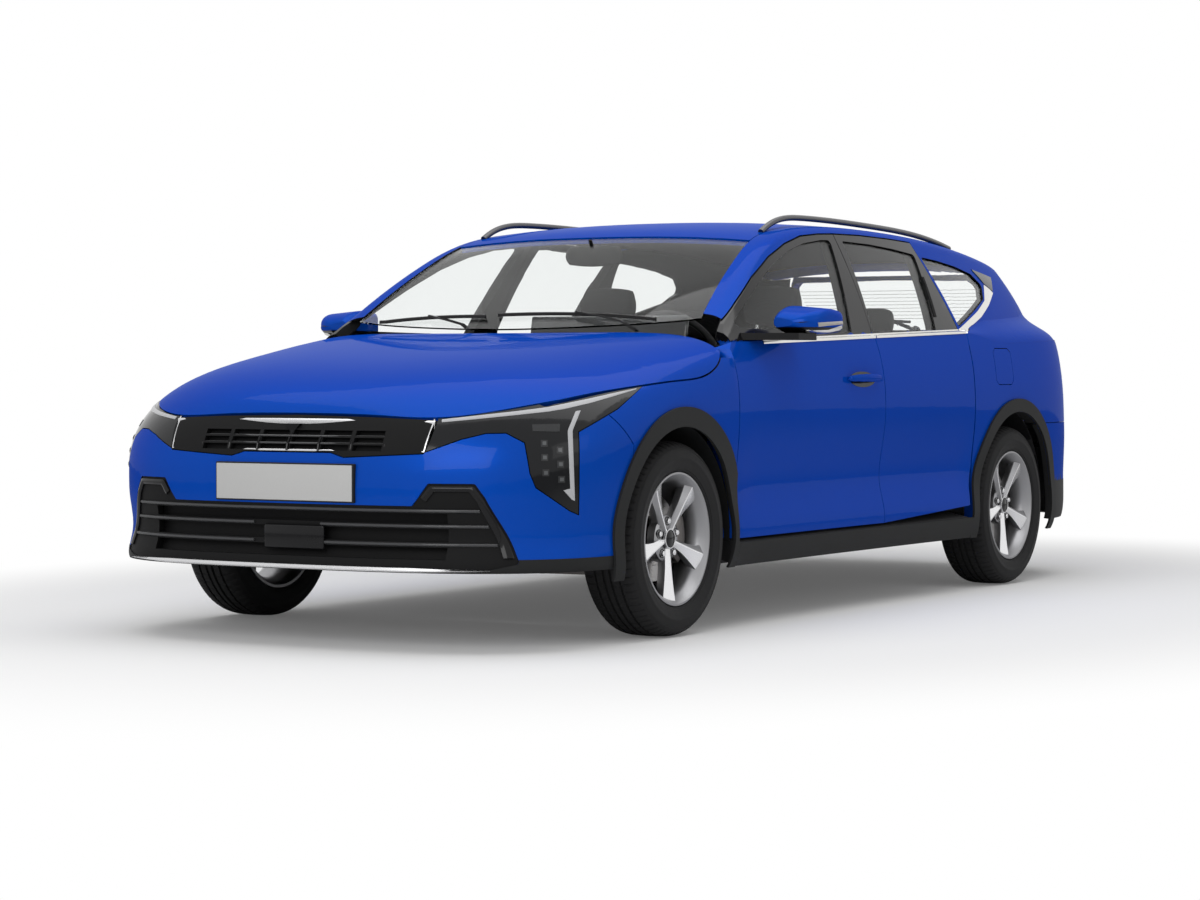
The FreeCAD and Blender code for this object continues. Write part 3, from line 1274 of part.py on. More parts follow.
engine.Height = 470
engine.Placement = Placement(Vector(1480, -320, 300), Rotation())
doc.recompute()
NODES.append(engine)

# Dashboard, cowl and seats


def side_form(points, y0, y1, radius):
    """A form with an (x, z) outline between two widths."""
    return prism([Vector(x, y0, z) for x, z in points], Vector(0, y1 - y0, 0), radius)


dashboard = side_form([(1009.7, 620), (1009.7, 895), (900, 945), (760, 930), (690, 860), (700, 780), (800, 640)], -684, 684, 20)


def seat(y0, y1, hip_x):
    cushion = side_form([(hip_x + 340, 400), (hip_x + 350, 450), (hip_x - 120, 420), (hip_x - 160, 330), (hip_x + 300, 300)], y0, y1, 24)
    back = side_form([(hip_x - 130, 360), (hip_x - 20, 410), (hip_x - 200, 985), (hip_x - 290, 985), (hip_x - 250, 700)], y0 + 10, y1 - 10, 30)
    middle = (y0 + y1) / 2
    head = side_form([(hip_x - 190, 1020), (hip_x - 290, 1030), (hip_x - 300, 1180), (hip_x - 225, 1185)], middle - 125, middle + 125, 28)
    posts = [rod([Vector(hip_x - 245, middle + s, 960), Vector(hip_x - 250, middle + s, 1060)], 6) for s in (-60, 60)]
    return fused([cushion, back, head] + posts)


base = block(-80, 330, 130, 590, FLOOR_Z + 0.3, 318)
front_seat = fused([seat(110, 610, 20), base])
keep("front_seats", together([front_seat, mirrored(front_seat)]))
bench_cushion = side_form([(-560, 380.3), (-545, 460), (-930, 420), (-960, 380.3)], -640, 640, 14)
bench_back = side_form([(-960, 380.3), (-900, 430), (-1010, 960), (-1080, 960), (-1040, 380.3)], -510, 510, 14)
bench_wing = side_form([(-960, 740), (-952, 760), (-1010, 940), (-1080, 940), (-1070, 740)], -630, 630, 14)
heads = []
for y in (-380, 0, 380):
    heads.append(side_form([(-1000, 985), (-1090, 985), (-1095, 1110), (-1025, 1115)], y - 110, y + 110, 24))
    heads += [rod([Vector(-1045, y + s, 940), Vector(-1050, y + s, 1020)], 6) for s in (-50, 50)]
wheel_space = Part.makeCylinder(WHEELHOUSE_R + HOUSE_T + 8, 400, Vector(REAR_AXLE, HOUSE_Y0 - 8, AXLE_Z), Vector(0, 1, 0))
bench = fused([bench_cushion, bench_back, bench_wing] + heads).cut(wheel_space).cut(mirrored(wheel_space))
keep("rear_bench", bench)

# Steering wheel

WHEEL_HUB = Vector(560, 370, 880)
column = Vector(math.cos(math.radians(25)), 0, -math.sin(math.radians(25)))
torus = Part.makeTorus(175, 15, WHEEL_HUB - column * 40, column)
boss = Part.makeCylinder(60, 50, WHEEL_HUB - column * 40, column)
bars = []
for angle in (90, 210, 330):
    bar = block(-6, 6, -14, 14, 40, 168)
    bar.rotate(Vector(0, 0, 0), Vector(1, 0, 0), angle)
    bar.Placement = Placement(WHEEL_HUB - column * 32, Rotation(Vector(1, 0, 0), column)).multiply(bar.Placement)
    bars.append(bar)
shaft = Part.makeCylinder(11, 150, WHEEL_HUB, column)
steering_wheel = fused([torus, boss, shaft] + bars)
keep("steering_wheel", steering_wheel)
shroud = Part.makeCylinder(34, 150, WHEEL_HUB + column * 55, column)
shaft_bore = Part.makeCylinder(11 + RUNNING, 200, WHEEL_HUB + column * 40, column)
keep("dashboard", fused([dashboard, shroud]).cut(shaft_bore))

# Mouldings


def over_skin(x0, x1, z_low, z_high, stand, nx, nz):
    grid = side_grid(x0, x1, z_low, z_high, nx, nz)
    return slab(inwards(grid, -0.7 - stand, MIDDLE), inwards(grid, -0.7, MIDDLE))


MOULD_T = size("moulding_stand")
MOULD_W = size("moulding_width")
sill_cover = over_skin(1036, REAR_EDGE + 2, lambda x: SILL_BOTTOM + 5, lambda x: SILL_TOP - 1, MOULD_T, 12, 5)


def arch_cover(x, inner):
    """A moulding over the skin from the edge of an inner drum to the full width of the moulding."""
    sheet_piece = over_skin(x - 440, x + 440, lambda q: 207, lambda q: 760, MOULD_T, 26, 12)
    return sheet_piece.common(drum(ARCH_R + MOULD_W, Vector(x, 700, AXLE_Z), 400).cut(inner))


# The front moulding ends ahead of the door, and reaches over the arch's edge there to keep its width
ARCH_LIP = 12
DOOR_SWING = 6
front_lip = drum(ARCH_R - ARCH_LIP, Vector(FRONT_AXLE + ARCH_LIP, 700, AXLE_Z), 401)
behind_edge = block(DOOR_EDGE - 200, DOOR_EDGE + DOOR_SWING, 700, 1000, SILL_TOP, 800)
over_sill = block(DOOR_EDGE - 200, 1036 + SEAT, 700, 1000, 100, SILL_TOP + 1)
front_cover = largest(arch_cover(FRONT_AXLE, front_lip).cut(behind_edge).cut(over_sill))
rear_arch_cover = arch_cover(REAR_AXLE, drum(ARCH_R, Vector(REAR_AXLE, 700, AXLE_Z), 401))
cladding = [sill_cover, front_cover, rear_arch_cover]
keep("cladding", together(cladding + [mirrored(piece) for piece in cladding]))

# Mirrors and roof rails


mirror_sections = [
    (772, 892, 962, 1002, 1040), (738, 884, 1030, 988, 1064), (692, 882, 1046, 979, 1077), (628, 886, 1052, 976, 1080),
    (566, 892, 1050, 980, 1074),
]
mirror_wires = []
for x, y0, y1, z0, z1 in mirror_sections:
    corners = [Vector(x, y0, z0), Vector(x, y1, z0 + 8), Vector(x, y1, z1 - 14), Vector(x, y0, z1)]
    mirror_wires.append(outline(corners, 26))
mirror_shell = Part.makeLoft(mirror_wires, True, False)
mirror_arm = prism(
    [Vector(905, 826, 960), Vector(800, 828, 960), Vector(720, 900, 960), Vector(640, 1000, 960), Vector(760, 980, 960),
     Vector(880, 880, 960)], Vector(0, 0, 24), 8,
)
mirror_piece = fused([mirror_shell, mirror_arm]).cut(front_door).cut(front_glass).cut(moved(front_door, Vector(0, 0.3, 0.3)))
mirror_piece = largest(mirror_piece)
keep_pair("door_mirror", mirror_piece)
rail_points = []
for x, y, z in ((298, 592, 1352), (200, 592, 1392), (-28, 590, 1415), (-612, 586, 1408), (-1150, 582, 1378), (-1360, 580, 1348)):
    rail_points.append(Vector(x, y, z))
rail_curve = Part.BSplineCurve()
rail_curve.interpolate(rail_points)
rail_wire = Part.Wire(rail_curve.toShape())
section = Part.Wire(Part.makeCircle(11, rail_points[0], rail_curve.tangent(0)[0]))
roof_rail = rail_wire.makePipeShell([section], True, True)
roof_rail = largest(roof_rail.cut(upper_body).cut(roof))
keep("roof_rails", together([roof_rail, mirrored(roof_rail)]))

keep_pair("front_door", front_door)
keep_pair("rear_door", rear_door)
keep("body_side_left", body_left)
keep("body_side_right", body_right)
keep("rear_bumper", rear_cover)
keep("roof_panel", roof)
keep("fixed_glass", together([windscreen, quarter_glass, mirrored(quarter_glass)]))
keep("tailgate", tailgate)
keep("tailgate_glass", gate_glass)
keep("fuel_flap", fuel_flap)
keep("tail_lamps", together([tail_lamp, mirrored(tail_lamp)]))
keep_pair("front_door_glass", front_glass)
keep_pair("rear_door_glass", rear_glass)
doc.recompute()
for entry in doc.Objects:
    if "Invalid" in entry.State or "Error" in entry.State:
        raise ValueError(entry.Label + " did not recompute")
for node in NODES:
    if node.Shape.isNull() or not node.Shape.isValid():
        raise ValueError(node.Label + " is not a valid shape")
os.makedirs("parts", exist_ok=True)
for old in os.listdir("parts"):
    if old.endswith(".step"):
        os.remove(os.path.join("parts", old))
for node in NODES:
    print(node.Label, node.Shape.isValid(), len(node.Shape.Solids), round(node.Shape.Volume / 1e6, 2))
    node.Shape.exportStep("parts/" + node.Label + ".step")
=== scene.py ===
"""A compact station wagon in metallic blue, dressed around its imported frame."""

import math

import bmesh
import bpy
from bpy.props import FloatProperty, FloatVectorProperty, PointerProperty
from mathutils import Matrix, Vector
from mathutils.bvhtree import BVHTree


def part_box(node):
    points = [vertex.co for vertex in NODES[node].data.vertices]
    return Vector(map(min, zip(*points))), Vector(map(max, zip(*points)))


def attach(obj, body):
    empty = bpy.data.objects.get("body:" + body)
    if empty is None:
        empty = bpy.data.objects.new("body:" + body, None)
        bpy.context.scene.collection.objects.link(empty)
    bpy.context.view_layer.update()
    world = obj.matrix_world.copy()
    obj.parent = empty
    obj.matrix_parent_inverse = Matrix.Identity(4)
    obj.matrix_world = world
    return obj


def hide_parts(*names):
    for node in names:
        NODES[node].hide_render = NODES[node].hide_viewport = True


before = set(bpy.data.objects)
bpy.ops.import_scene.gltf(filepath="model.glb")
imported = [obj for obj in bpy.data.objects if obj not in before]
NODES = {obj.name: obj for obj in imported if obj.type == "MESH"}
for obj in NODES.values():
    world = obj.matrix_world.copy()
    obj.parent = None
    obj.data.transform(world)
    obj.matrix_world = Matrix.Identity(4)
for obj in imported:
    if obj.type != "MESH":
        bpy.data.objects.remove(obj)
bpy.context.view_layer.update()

bl_info = {
    "name": "Station Wagon",
    "version": (1, 0, 0),
    "blender": (4, 5, 0),
    "location": "View3D > Sidebar > Wagon",
    "description": "Builds the finish, trim, glass, lamps, wheels and cabin of a compact station wagon",
    "category": "Object",
}

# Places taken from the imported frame, in metres

FRONT_AXLE = sum(p[0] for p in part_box("wheel_front_left")) / 2
REAR_AXLE = sum(p[0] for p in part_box("wheel_rear_left")) / 2
AXLE_Z = sum(p[2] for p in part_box("wheel_front_left")) / 2
WHEEL_Y = sum(p[1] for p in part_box("tyre_front_left")) / 2
SIDES = (("left", 1), ("right", -1))

# The photograph's frame: where its camera stood and how it looked

PHOTO_W, PHOTO_H = 1200, 900
CAMERA_AT = Vector((9.759, 5.567, 0.874))
CAMERA_TURN = (math.radians(88.373), 0.0, math.radians(120.825))
LENS = 89.27
SENSOR = 36.0


def belt_z(x):
    """Height of the window sill at a station."""
    return 0.982 - 0.030 * x


# Materials


def shader(name):
    """A new material and its Principled shader."""
    material = bpy.data.materials.new(name)
    material.use_nodes = True
    return material, material.node_tree, material.node_tree.nodes["Principled BSDF"]


def set_inputs(bsdf, **values):
    names = {
        "color": "Base Color", "metal": "Metallic", "rough": "Roughness", "ior": "IOR", "coat": "Coat Weight",
        "coat_rough": "Coat Roughness", "through": "Transmission Weight", "sheen": "Sheen Weight",
        "sheen_rough": "Sheen Roughness", "glow": "Emission Color", "glow_strength": "Emission Strength",
        "specular": "Specular IOR Level",
    }
    for key, value in values.items():
        if key in ("color", "glow"):
            value = tuple(value) + (1.0,)
        bsdf.inputs[names[key]].default_value = value


def noise(tree, scale, detail=4.0, stretch=None):
    """Noise over the surface's own coordinates."""
    where = tree.nodes.new("ShaderNodeTexCoord")
    texture = tree.nodes.new("ShaderNodeTexNoise")
    texture.inputs["Scale"].default_value = scale
    texture.inputs["Detail"].default_value = detail
    if stretch:
        mapping = tree.nodes.new("ShaderNodeMapping")
        mapping.inputs["Scale"].default_value = stretch
        tree.links.new(where.outputs["Object"], mapping.inputs["Vector"])
        tree.links.new(mapping.outputs["Vector"], texture.inputs["Vector"])
    else:
        tree.links.new(where.outputs["Object"], texture.inputs["Vector"])
    return texture


def spread(tree, source, low, high, socket):
    """Feed a socket with the source, mapped to a range."""
    ramp = tree.nodes.new("ShaderNodeMapRange")
    ramp.inputs["To Min"].default_value = low
    ramp.inputs["To Max"].default_value = high
    tree.links.new(source, ramp.inputs["Value"])
    tree.links.new(ramp.outputs["Result"], socket)


def bump(tree, bsdf, source, strength, distance):
    node = tree.nodes.new("ShaderNodeBump")
    node.inputs["Strength"].default_value = strength
    node.inputs["Distance"].default_value = distance
    tree.links.new(source, node.inputs["Height"])
    tree.links.new(node.outputs["Normal"], bsdf.inputs["Normal"])


def tint(tree, bsdf, source, dark, light):
    """Colour that wanders between two shades."""
    ramp = tree.nodes.new("ShaderNodeMix")
    ramp.data_type = "RGBA"
    ramp.inputs["A"].default_value = tuple(dark) + (1.0,)
    ramp.inputs["B"].default_value = tuple(light) + (1.0,)
    tree.links.new(source, ramp.inputs["Factor"])
    tree.links.new(ramp.outputs["Result"], bsdf.inputs["Base Color"])


def paint_material(name, color):
    """Metallic paint: fine flake under a clear coat."""
    material, tree, bsdf = shader(name)
    set_inputs(bsdf, color=color, metal=0.22, rough=0.36, specular=0.0, coat=0.13, coat_rough=0.03)
    bsdf.inputs["Specular Tint"].default_value = (0.02, 0.16, 0.85, 1.0)
    flake = noise(tree, 900.0, 2.0)
    dark = [c * 0.82 for c in color]
    light = [min(1.0, c * 1.14) for c in color]
    tint(tree, bsdf, flake.outputs["Fac"], dark, light)
    spread(tree, flake.outputs["Fac"], 0.28, 0.42, bsdf.inputs["Roughness"])
    return material


def plastic_material(name, color, rough, grain, depth, coat=0.0):
    """Moulded plastic with a fine grain."""
    material, tree, bsdf = shader(name)
    set_inputs(bsdf, color=color, rough=rough, coat=coat, coat_rough=0.05, specular=0.16)
    field = noise(tree, grain, 3.0)
    tint(tree, bsdf, field.outputs["Fac"], [c * 0.85 for c in color], [c * 1.15 for c in color])
    spread(tree, field.outputs["Fac"], max(0.02, rough - 0.06), rough + 0.06, bsdf.inputs["Roughness"])
    bump(tree, bsdf, field.outputs["Fac"], 0.35, depth)
    return material


def metal_material(name, color, rough, brushed=None):
    """Bare or plated metal, brushed where a stretch is given."""
    material, tree, bsdf = shader(name)
    set_inputs(bsdf, color=color, metal=1.0, rough=rough)
    field = noise(tree, 60.0, 6.0, brushed or (1.0, 1.0, 1.0))
    spread(tree, field.outputs["Fac"], max(0.03, rough - 0.07), rough + 0.07, bsdf.inputs["Roughness"])
    bump(tree, bsdf, field.outputs["Fac"], 0.06, 0.0004)
    return material


def glass_material(name, color, rough=0.0, ior=1.16):
    material, tree, bsdf = shader(name)
    set_inputs(bsdf, color=color, rough=rough, through=1.0, ior=ior)
    haze = noise(tree, 3.0, 2.0)
    spread(tree, haze.outputs["Fac"], rough, rough + 0.012, bsdf.inputs["Roughness"])
    return material


def rubber_material(name):
    material, tree, bsdf = shader(name)
    set_inputs(bsdf, color=(0.014, 0.014, 0.015), rough=0.72, specular=0.2)
    field = noise(tree, 45.0, 6.0)
    tint(tree, bsdf, field.outputs["Fac"], (0.010, 0.010, 0.0105), (0.020, 0.020, 0.021))
    spread(tree, field.outputs["Fac"], 0.62, 0.86, bsdf.inputs["Roughness"])
    bump(tree, bsdf, field.outputs["Fac"], 0.3, 0.0006)
    return material


def cloth_material(name, color, pitch):
    """Woven seat cloth: crossed waves with a soft sheen."""
    material, tree, bsdf = shader(name)
    set_inputs(bsdf, color=color, rough=0.9, specular=0.2, sheen=0.10, sheen_rough=0.4)
    where = tree.nodes.new("ShaderNodeTexCoord")
    waves = []
    for direction in ("X", "Z"):
        wave = tree.nodes.new("ShaderNodeTexWave")
        wave.bands_direction = direction
        wave.inputs["Scale"].default_value = pitch
        wave.inputs["Distortion"].default_value = 0.6
        tree.links.new(where.outputs["Object"], wave.inputs["Vector"])
        waves.append(wave)
    cross = tree.nodes.new("ShaderNodeMath")
    cross.operation = "MAXIMUM"
    tree.links.new(waves[0].outputs["Fac"], cross.inputs[0])
    tree.links.new(waves[1].outputs["Fac"], cross.inputs[1])
    tint(tree, bsdf, cross.outputs["Value"], [c * 0.6 for c in color], [c * 1.3 for c in color])
    bump(tree, bsdf, cross.outputs["Value"], 0.5, 0.0008)
    return material


def lit_material(name, color, strength):
    material, tree, bsdf = shader(name)
    set_inputs(bsdf, color=color, rough=0.3, glow=color, glow_strength=strength)
    field = noise(tree, 40.0, 1.0)
    spread(tree, field.outputs["Fac"], 0.25, 0.4, bsdf.inputs["Roughness"])
    return material


M = {}


def make_materials(settings):
    M["paint"] = paint_material("metallic_blue_paint", settings.paint_color)
    M["gloss_black"] = plastic_material("gloss_black_trim", (0.006, 0.006, 0.007), 0.14, 300.0, 0.00005, 0.12)
    M["plastic"] = plastic_material("grained_dark_plastic", settings.moulding_color, 0.62, 700.0, 0.0004)
    M["inner"] = plastic_material("cabin_trim", (0.007, 0.007, 0.0075), 0.8, 500.0, 0.0004)
    M["lining"] = plastic_material("roof_lining", (0.05, 0.05, 0.051), 0.95, 900.0, 0.0003)
    M["chrome"] = metal_material("satin_chrome", (0.74, 0.73, 0.70), 0.22, (1.0, 30.0, 30.0))
    M["silver"] = metal_material("satin_silver", (0.62, 0.62, 0.63), 0.27)
    M["machined"] = metal_material("machined_alloy", (0.78, 0.78, 0.79), 0.24, (20.0, 2.0, 20.0))
    M["alloy_grey"] = metal_material("painted_alloy", (0.30, 0.30, 0.31), 0.38)
    M["iron"] = metal_material("cast_iron", (0.16, 0.15, 0.145), 0.5)
    M["disc"] = metal_material("brake_disc", (0.46, 0.45, 0.44), 0.3, (2.0, 60.0, 2.0))
    M["steel"] = plastic_material("underbody_coating", (0.03, 0.03, 0.032), 0.7, 200.0, 0.0008)
    M["rail"] = metal_material("dark_satin_rail", (0.10, 0.10, 0.105), 0.35, (1.0, 25.0, 25.0))
    M["glass"] = glass_material("tinted_window", settings.glass_color)
    # Grille black: black plastic made darker still as painted shade of the space behind the grilles' openings.
    M["recess"] = plastic_material("recess_black", (0.0035, 0.0035, 0.0038), 0.7, 200.0, 0.0003)
    M["smoked"] = plastic_material("smoked_lamp", (0.007, 0.0075, 0.009), 0.10, 120.0, 0.00005, 0.15)
    M["tail"] = plastic_material("red_lens", (0.30, 0.006, 0.008), 0.08, 120.0, 0.00005, 0.5)
    M["drl"] = lit_material("daylight_strip", (0.40, 0.405, 0.42), 0.12)
    M["led"] = plastic_material("lamp_module", (0.030, 0.031, 0.033), 0.25, 150.0, 0.0002, 0.3)
    M["rubber"] = rubber_material("tyre_rubber")
    M["cloth"] = cloth_material("seat_cloth", (0.020, 0.020, 0.022), 160.0)
    M["hide"] = plastic_material("seat_edge", (0.014, 0.014, 0.015), 0.55, 260.0, 0.0005)
    M["plate"] = plastic_material("blank_plate", (0.50, 0.50, 0.495), 0.45, 900.0, 0.00002)
    M["screen"] = plastic_material("dark_screen", (0.008, 0.009, 0.011), 0.06, 60.0, 0.00002, 1.0)
    M["lamp_eye"] = plastic_material("lamp_eye", (0.10, 0.105, 0.11), 0.15, 150.0, 0.0001, 0.5)
    M["grey_trim"] = plastic_material("satin_grey_trim", (0.050, 0.051, 0.054), 0.32, 400.0, 0.0001, 0.2)
    M["amber"] = plastic_material("indicator_lens", (0.42, 0.40, 0.38), 0.12, 120.0, 0.00005, 1.0)
    M["tail_lit"] = lit_material("red_light_line", (0.85, 0.03, 0.03), 0.5)
    M["heater"] = plastic_material("heater_line", (0.06, 0.035, 0.025), 0.5, 300.0, 0.00005)
    M["mirror"] = metal_material("mirror_glass", (0.80, 0.82, 0.84), 0.04)


# Meshes


def make(name, verts, faces, material, body, slot=None, smooth=True, parent_nodes=()):
    """An object from points and faces that rides on a body."""
    mesh = bpy.data.meshes.new(name)
    mesh.from_pydata([tuple(v) for v in verts], [], faces)
    mesh.validate()
    bm = bmesh.new()
    bm.from_mesh(mesh)
    bmesh.ops.remove_doubles(bm, verts=bm.verts, dist=1e-6)
    bmesh.ops.recalc_face_normals(bm, faces=bm.faces)
    bm.to_mesh(mesh)
    bm.free()
    obj = bpy.data.objects.new(name, mesh)
    bpy.context.scene.collection.objects.link(obj)
    obj.data.materials.append(M[material])
    if smooth:
        obj.data.polygons.foreach_set("use_smooth", [True] * len(obj.data.polygons))
        obj.data.set_sharp_from_angle(angle=math.radians(32))
    if parent_nodes:
        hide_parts(*parent_nodes)
    if body:
        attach(obj, body)
    return obj


def grid_faces(rows, columns, closed_rows=False, closed_columns=False):
    faces = []
    for i in range(rows if closed_rows else rows - 1):
        for j in range(columns if closed_columns else columns - 1):
            a, b = i % rows, (i + 1) % rows
            c, d = j % columns, (j + 1) % columns
            faces.append((a * columns + c, a * columns + d, b * columns + d, b * columns + c))
    return faces


def lofted(rings, closed_path=False):
    """Points and faces of a skin over equal rings, with ends closed unless the path is."""
    columns = len(rings[0])
    verts = [p for ring in rings for p in ring]
    faces = grid_faces(len(rings), columns, closed_path, True)
    if not closed_path:
        faces.append(tuple(range(columns)))
        last = (len(rings) - 1) * columns
        faces.append(tuple(last + i for i in reversed(range(columns))))
    return verts, faces


def turned(profile, count, centre, axis_sign=1):
    """A closed (radius, y) profile turned about the wheel's axis."""
    rings = []
    for i in range(count):
        angle = 2 * math.pi * i / count
        c, s = math.cos(angle), math.sin(angle)
        rings.append([Vector((r * c, axis_sign * y, r * s)) + centre for r, y in profile])
    return lofted(rings, closed_path=True)


def join(parts):
    """Several (points, faces) as one."""
    verts, faces = [], []
    for v, f in parts:
        start = len(verts)
        verts += list(v)
        faces += [tuple(i + start for i in face) for face in f]
    return verts, faces


def rounded_box(size, radius, centre=(0, 0, 0), segments=3):
    """Points and faces of a box with rounded edges."""
    bm = bmesh.new()
    bmesh.ops.create_cube(bm, size=1.0)
    for v in bm.verts:
        v.co = Vector((v.co.x * size[0], v.co.y * size[1], v.co.z * size[2]))
    bmesh.ops.bevel(bm, geom=bm.edges[:], offset=radius, segments=segments, profile=0.5, affect="EDGES")
    bm.verts.index_update()
    verts = [v.co + Vector(centre) for v in bm.verts]
    faces = [tuple(v.index for v in f.verts) for f in bm.faces]
    bm.free()
    return verts, faces


def placed(part, matrix):
    verts, faces = part
    return [matrix @ Vector(v) for v in verts], faces


def swept(points, section, up=Vector((0, 0, 1)), closed=False):
    """A section, as (across, up) pairs, carried along points."""
    rings = []
    n = len(points)
    for i, p in enumerate(points):
        ahead = points[(i + 1) % n] if closed or i < n - 1 else p
        back = points[i - 1] if closed or i > 0 else p
        along = (ahead - back).normalized()
        across = along.cross(up).normalized()
        top = across.cross(along).normalized()
        rings.append([p + across * a + top * b for a, b in section])
    return lofted(rings, closed_path=closed)


def oval(width, height, count=12):
    return [
        (width * math.cos(2 * math.pi * i / count), height * math.sin(2 * math.pi * i / count))
        for i in range(count)
    ]


# Finding the skin


SEAM_STEPS = [
    (0, 0), (0, -0.004), (0, 0.004), (0.004, 0), (-0.004, 0), (0, -0.009), (0, 0.009), (0, -0.016),
    (0, 0.016),
]


class Skin:
    """Rays against chosen nodes of the frame."""

    def __init__(self, *names):
        verts, faces = [], []
        for name in names:
            obj = NODES[name]
            start = len(verts)
            verts += [v.co.copy() for v in obj.data.vertices]
            faces += [tuple(start + i for i in p.vertices) for p in obj.data.polygons]
        self.tree = BVHTree.FromPolygons(verts, faces)

    def hit(self, origin, direction):
        place, normal, _, _ = self.tree.ray_cast(Vector(origin), Vector(direction).normalized())
        if place is None:
            return None, None
        if normal.dot(Vector(direction)) > 0:
            normal = -normal
        return place, normal

    def shot(self, place, direction):
        """The hit of a ray, or of one close beside it where the ray falls into a seam."""
        start = Vector(place)
        for step in SEAM_STEPS:
            found, normal = self.hit(start + Vector((step[0], step[0], step[1])), direction)
            if found is not None:
                axis = max(range(3), key=lambda k: abs(direction[k]))
                spot = start.copy()
                spot[axis] = found[axis]
                return spot, normal
        return None, None

    def side(self, x, z, sign=1):
        return self.shot((x, 2.0 * sign, z), (0, -sign, 0))

    def front(self, y, z):
        return self.shot((4.0, y, z), (-1, 0, 0))

    def back(self, y, z):
        return self.shot((-4.0, y, z), (1, 0, 0))

    def top(self, x, y):
        return self.shot((x, y, 3.0), (0, 0, -1))

    def seen(self, px, py):
        """Where the photograph's pixel lies on the skin."""
        focal = LENS / SENSOR * PHOTO_W
        ray = Vector(((px - PHOTO_W / 2) / focal, -(py - PHOTO_H / 2) / focal, -1.0))
        turn = Matrix.Rotation(CAMERA_TURN[2], 3, "Z") @ Matrix.Rotation(CAMERA_TURN[0], 3, "X")
        return self.hit(CAMERA_AT, turn @ ray)


def between(a, b, t):
    return a * (1 - t) + b * t


def along(points, count):
    """Evenly spaced points on a polyline of tuples."""
    lengths = [0.0]
    for a, b in zip(points, points[1:]):
        lengths.append(lengths[-1] + math.dist(a, b))
    result = []
    for i in range(count):
        want = lengths[-1] * i / (count - 1)
        k = max(j for j in range(len(points)) if lengths[j] <= want + 1e-9)
        k = min(k, len(points) - 2)
        t = (want - lengths[k]) / max(1e-9, lengths[k + 1] - lengths[k])
        result.append(tuple(between(a, b, t) for a, b in zip(points[k], points[k + 1])))
    return result


def skin_band(find, edge_a, edge_b, count, across, low, high, crown=0.0):
    """A closed band that lies on the skin between two edges, from low to high above it."""
    line_a, line_b = along(edge_a, count), along(edge_b, count)
    top, under = [], []
    last = None
    for a, b in zip(line_a, line_b):
        row_top, row_under = [], []
        for j in range(across):
            t = j / (across - 1)
            spot = tuple(between(p, q, t) for p, q in zip(a, b))
            place, normal = find(*spot)
            if place is None and last is None:
                raise ValueError("nothing to lie on at %s" % (spot,))
            if place is None:
                place, normal = last
            last = (place, normal)
            lift = high + crown * math.sin(math.pi * t)
            row_top.append(place + normal * lift)
            row_under.append(place + normal * low)
        top.append(row_top)
        under.append(row_under)
    rings = [row_t + list(reversed(row_u)) for row_t, row_u in zip(top, under)]
    return lofted(rings)


def flipped(part, sign):
    """The part on the given side of the car."""
    verts, faces = part
    return [Vector((v[0], v[1] * sign, v[2])) for v in verts], faces


# Dressing the frame's own nodes

ARCH_EDGE_R = 0.382
QUARTER_START, QUARTER_END, QUARTER_TOP = -0.88, -1.44, 1.29
LIP_TOP = 0.286
REAR_SKIRT_TOP = 0.40
FLOOR_TOP = 0.21
CABIN_END, CABIN_START, CABIN_HALF = -2.25, 1.02, 0.76
MIRROR_FOOT_TOP = 1.004
SKIRT_STAND = 0.0008
SKIRT_MIDDLE = Vector((0, 0, 0.35))


def finish_node(node, rule, materials):
    """Give a node's faces the materials that rule(centre, normal) picks by name."""
    obj = NODES[node]
    obj.data.materials.clear()
    for key in materials:
        obj.data.materials.append(M[key])
    index = {key: i for i, key in enumerate(materials)}
    for face in obj.data.polygons:
        face.material_index = index[rule(face.center, face.normal)]


def outside(place, normal, sign):
    """True on the face that shows from beside the car."""
    return normal.y * sign > 0.12


def door_rule(sign):
    def rule(place, normal):
        if not outside(place, normal, sign) and not (abs(normal.x) > 0.8 and abs(place.y) > 0.78):
            return "inner"
        return "gloss_black" if place.z > belt_z(place.x) + 0.003 else "paint"

    return rule


def arch_edge(place, normal, axle_x):
    """True on the edge of a wheel opening, where the face looks towards the axle."""
    inward = Vector((axle_x - place.x, 0, AXLE_Z - place.z))
    return inward.length < ARCH_EDGE_R and normal.dot(inward.normalized()) > 0.4


def side_rule(sign):
    def rule(place, normal):
        beside_glass = QUARTER_END < place.x < QUARTER_START and belt_z(place.x) < place.z < QUARTER_TOP
        inner = normal.y * sign < -0.2 or normal.z < -0.4
        if inner or (beside_glass and abs(normal.y) < 0.45) or arch_edge(place, normal, REAR_AXLE):
            return "inner"
        return "paint"

    return rule


def fender_rule(sign):
    """Paint outside, black on the wheel arch's edge and on the inner face."""
    def rule(place, normal):
        return "plastic" if arch_edge(place, normal, FRONT_AXLE) or normal.y * sign < -0.2 else "paint"

    return rule


def mirror_rule(place, normal):
    return "paint" if place.z > MIRROR_FOOT_TOP and normal.x > -0.75 else "gloss_black"


def bumper_rule(top, axle_x):
    """Paint above the skirt, black below it, inside and on the wheel arch's edge."""
    def rule(place, normal):
        inner = normal.y * place.y < -0.2 * abs(place.y)
        low = place.z < top - 0.02
        return "plastic" if low or inner or arch_edge(place, normal, axle_x) else "paint"

    return rule


def tailgate_rule(place, normal):
    return "inner" if normal.x > 0.35 and place.x > -2.3 and normal.z < 0.5 else "paint"


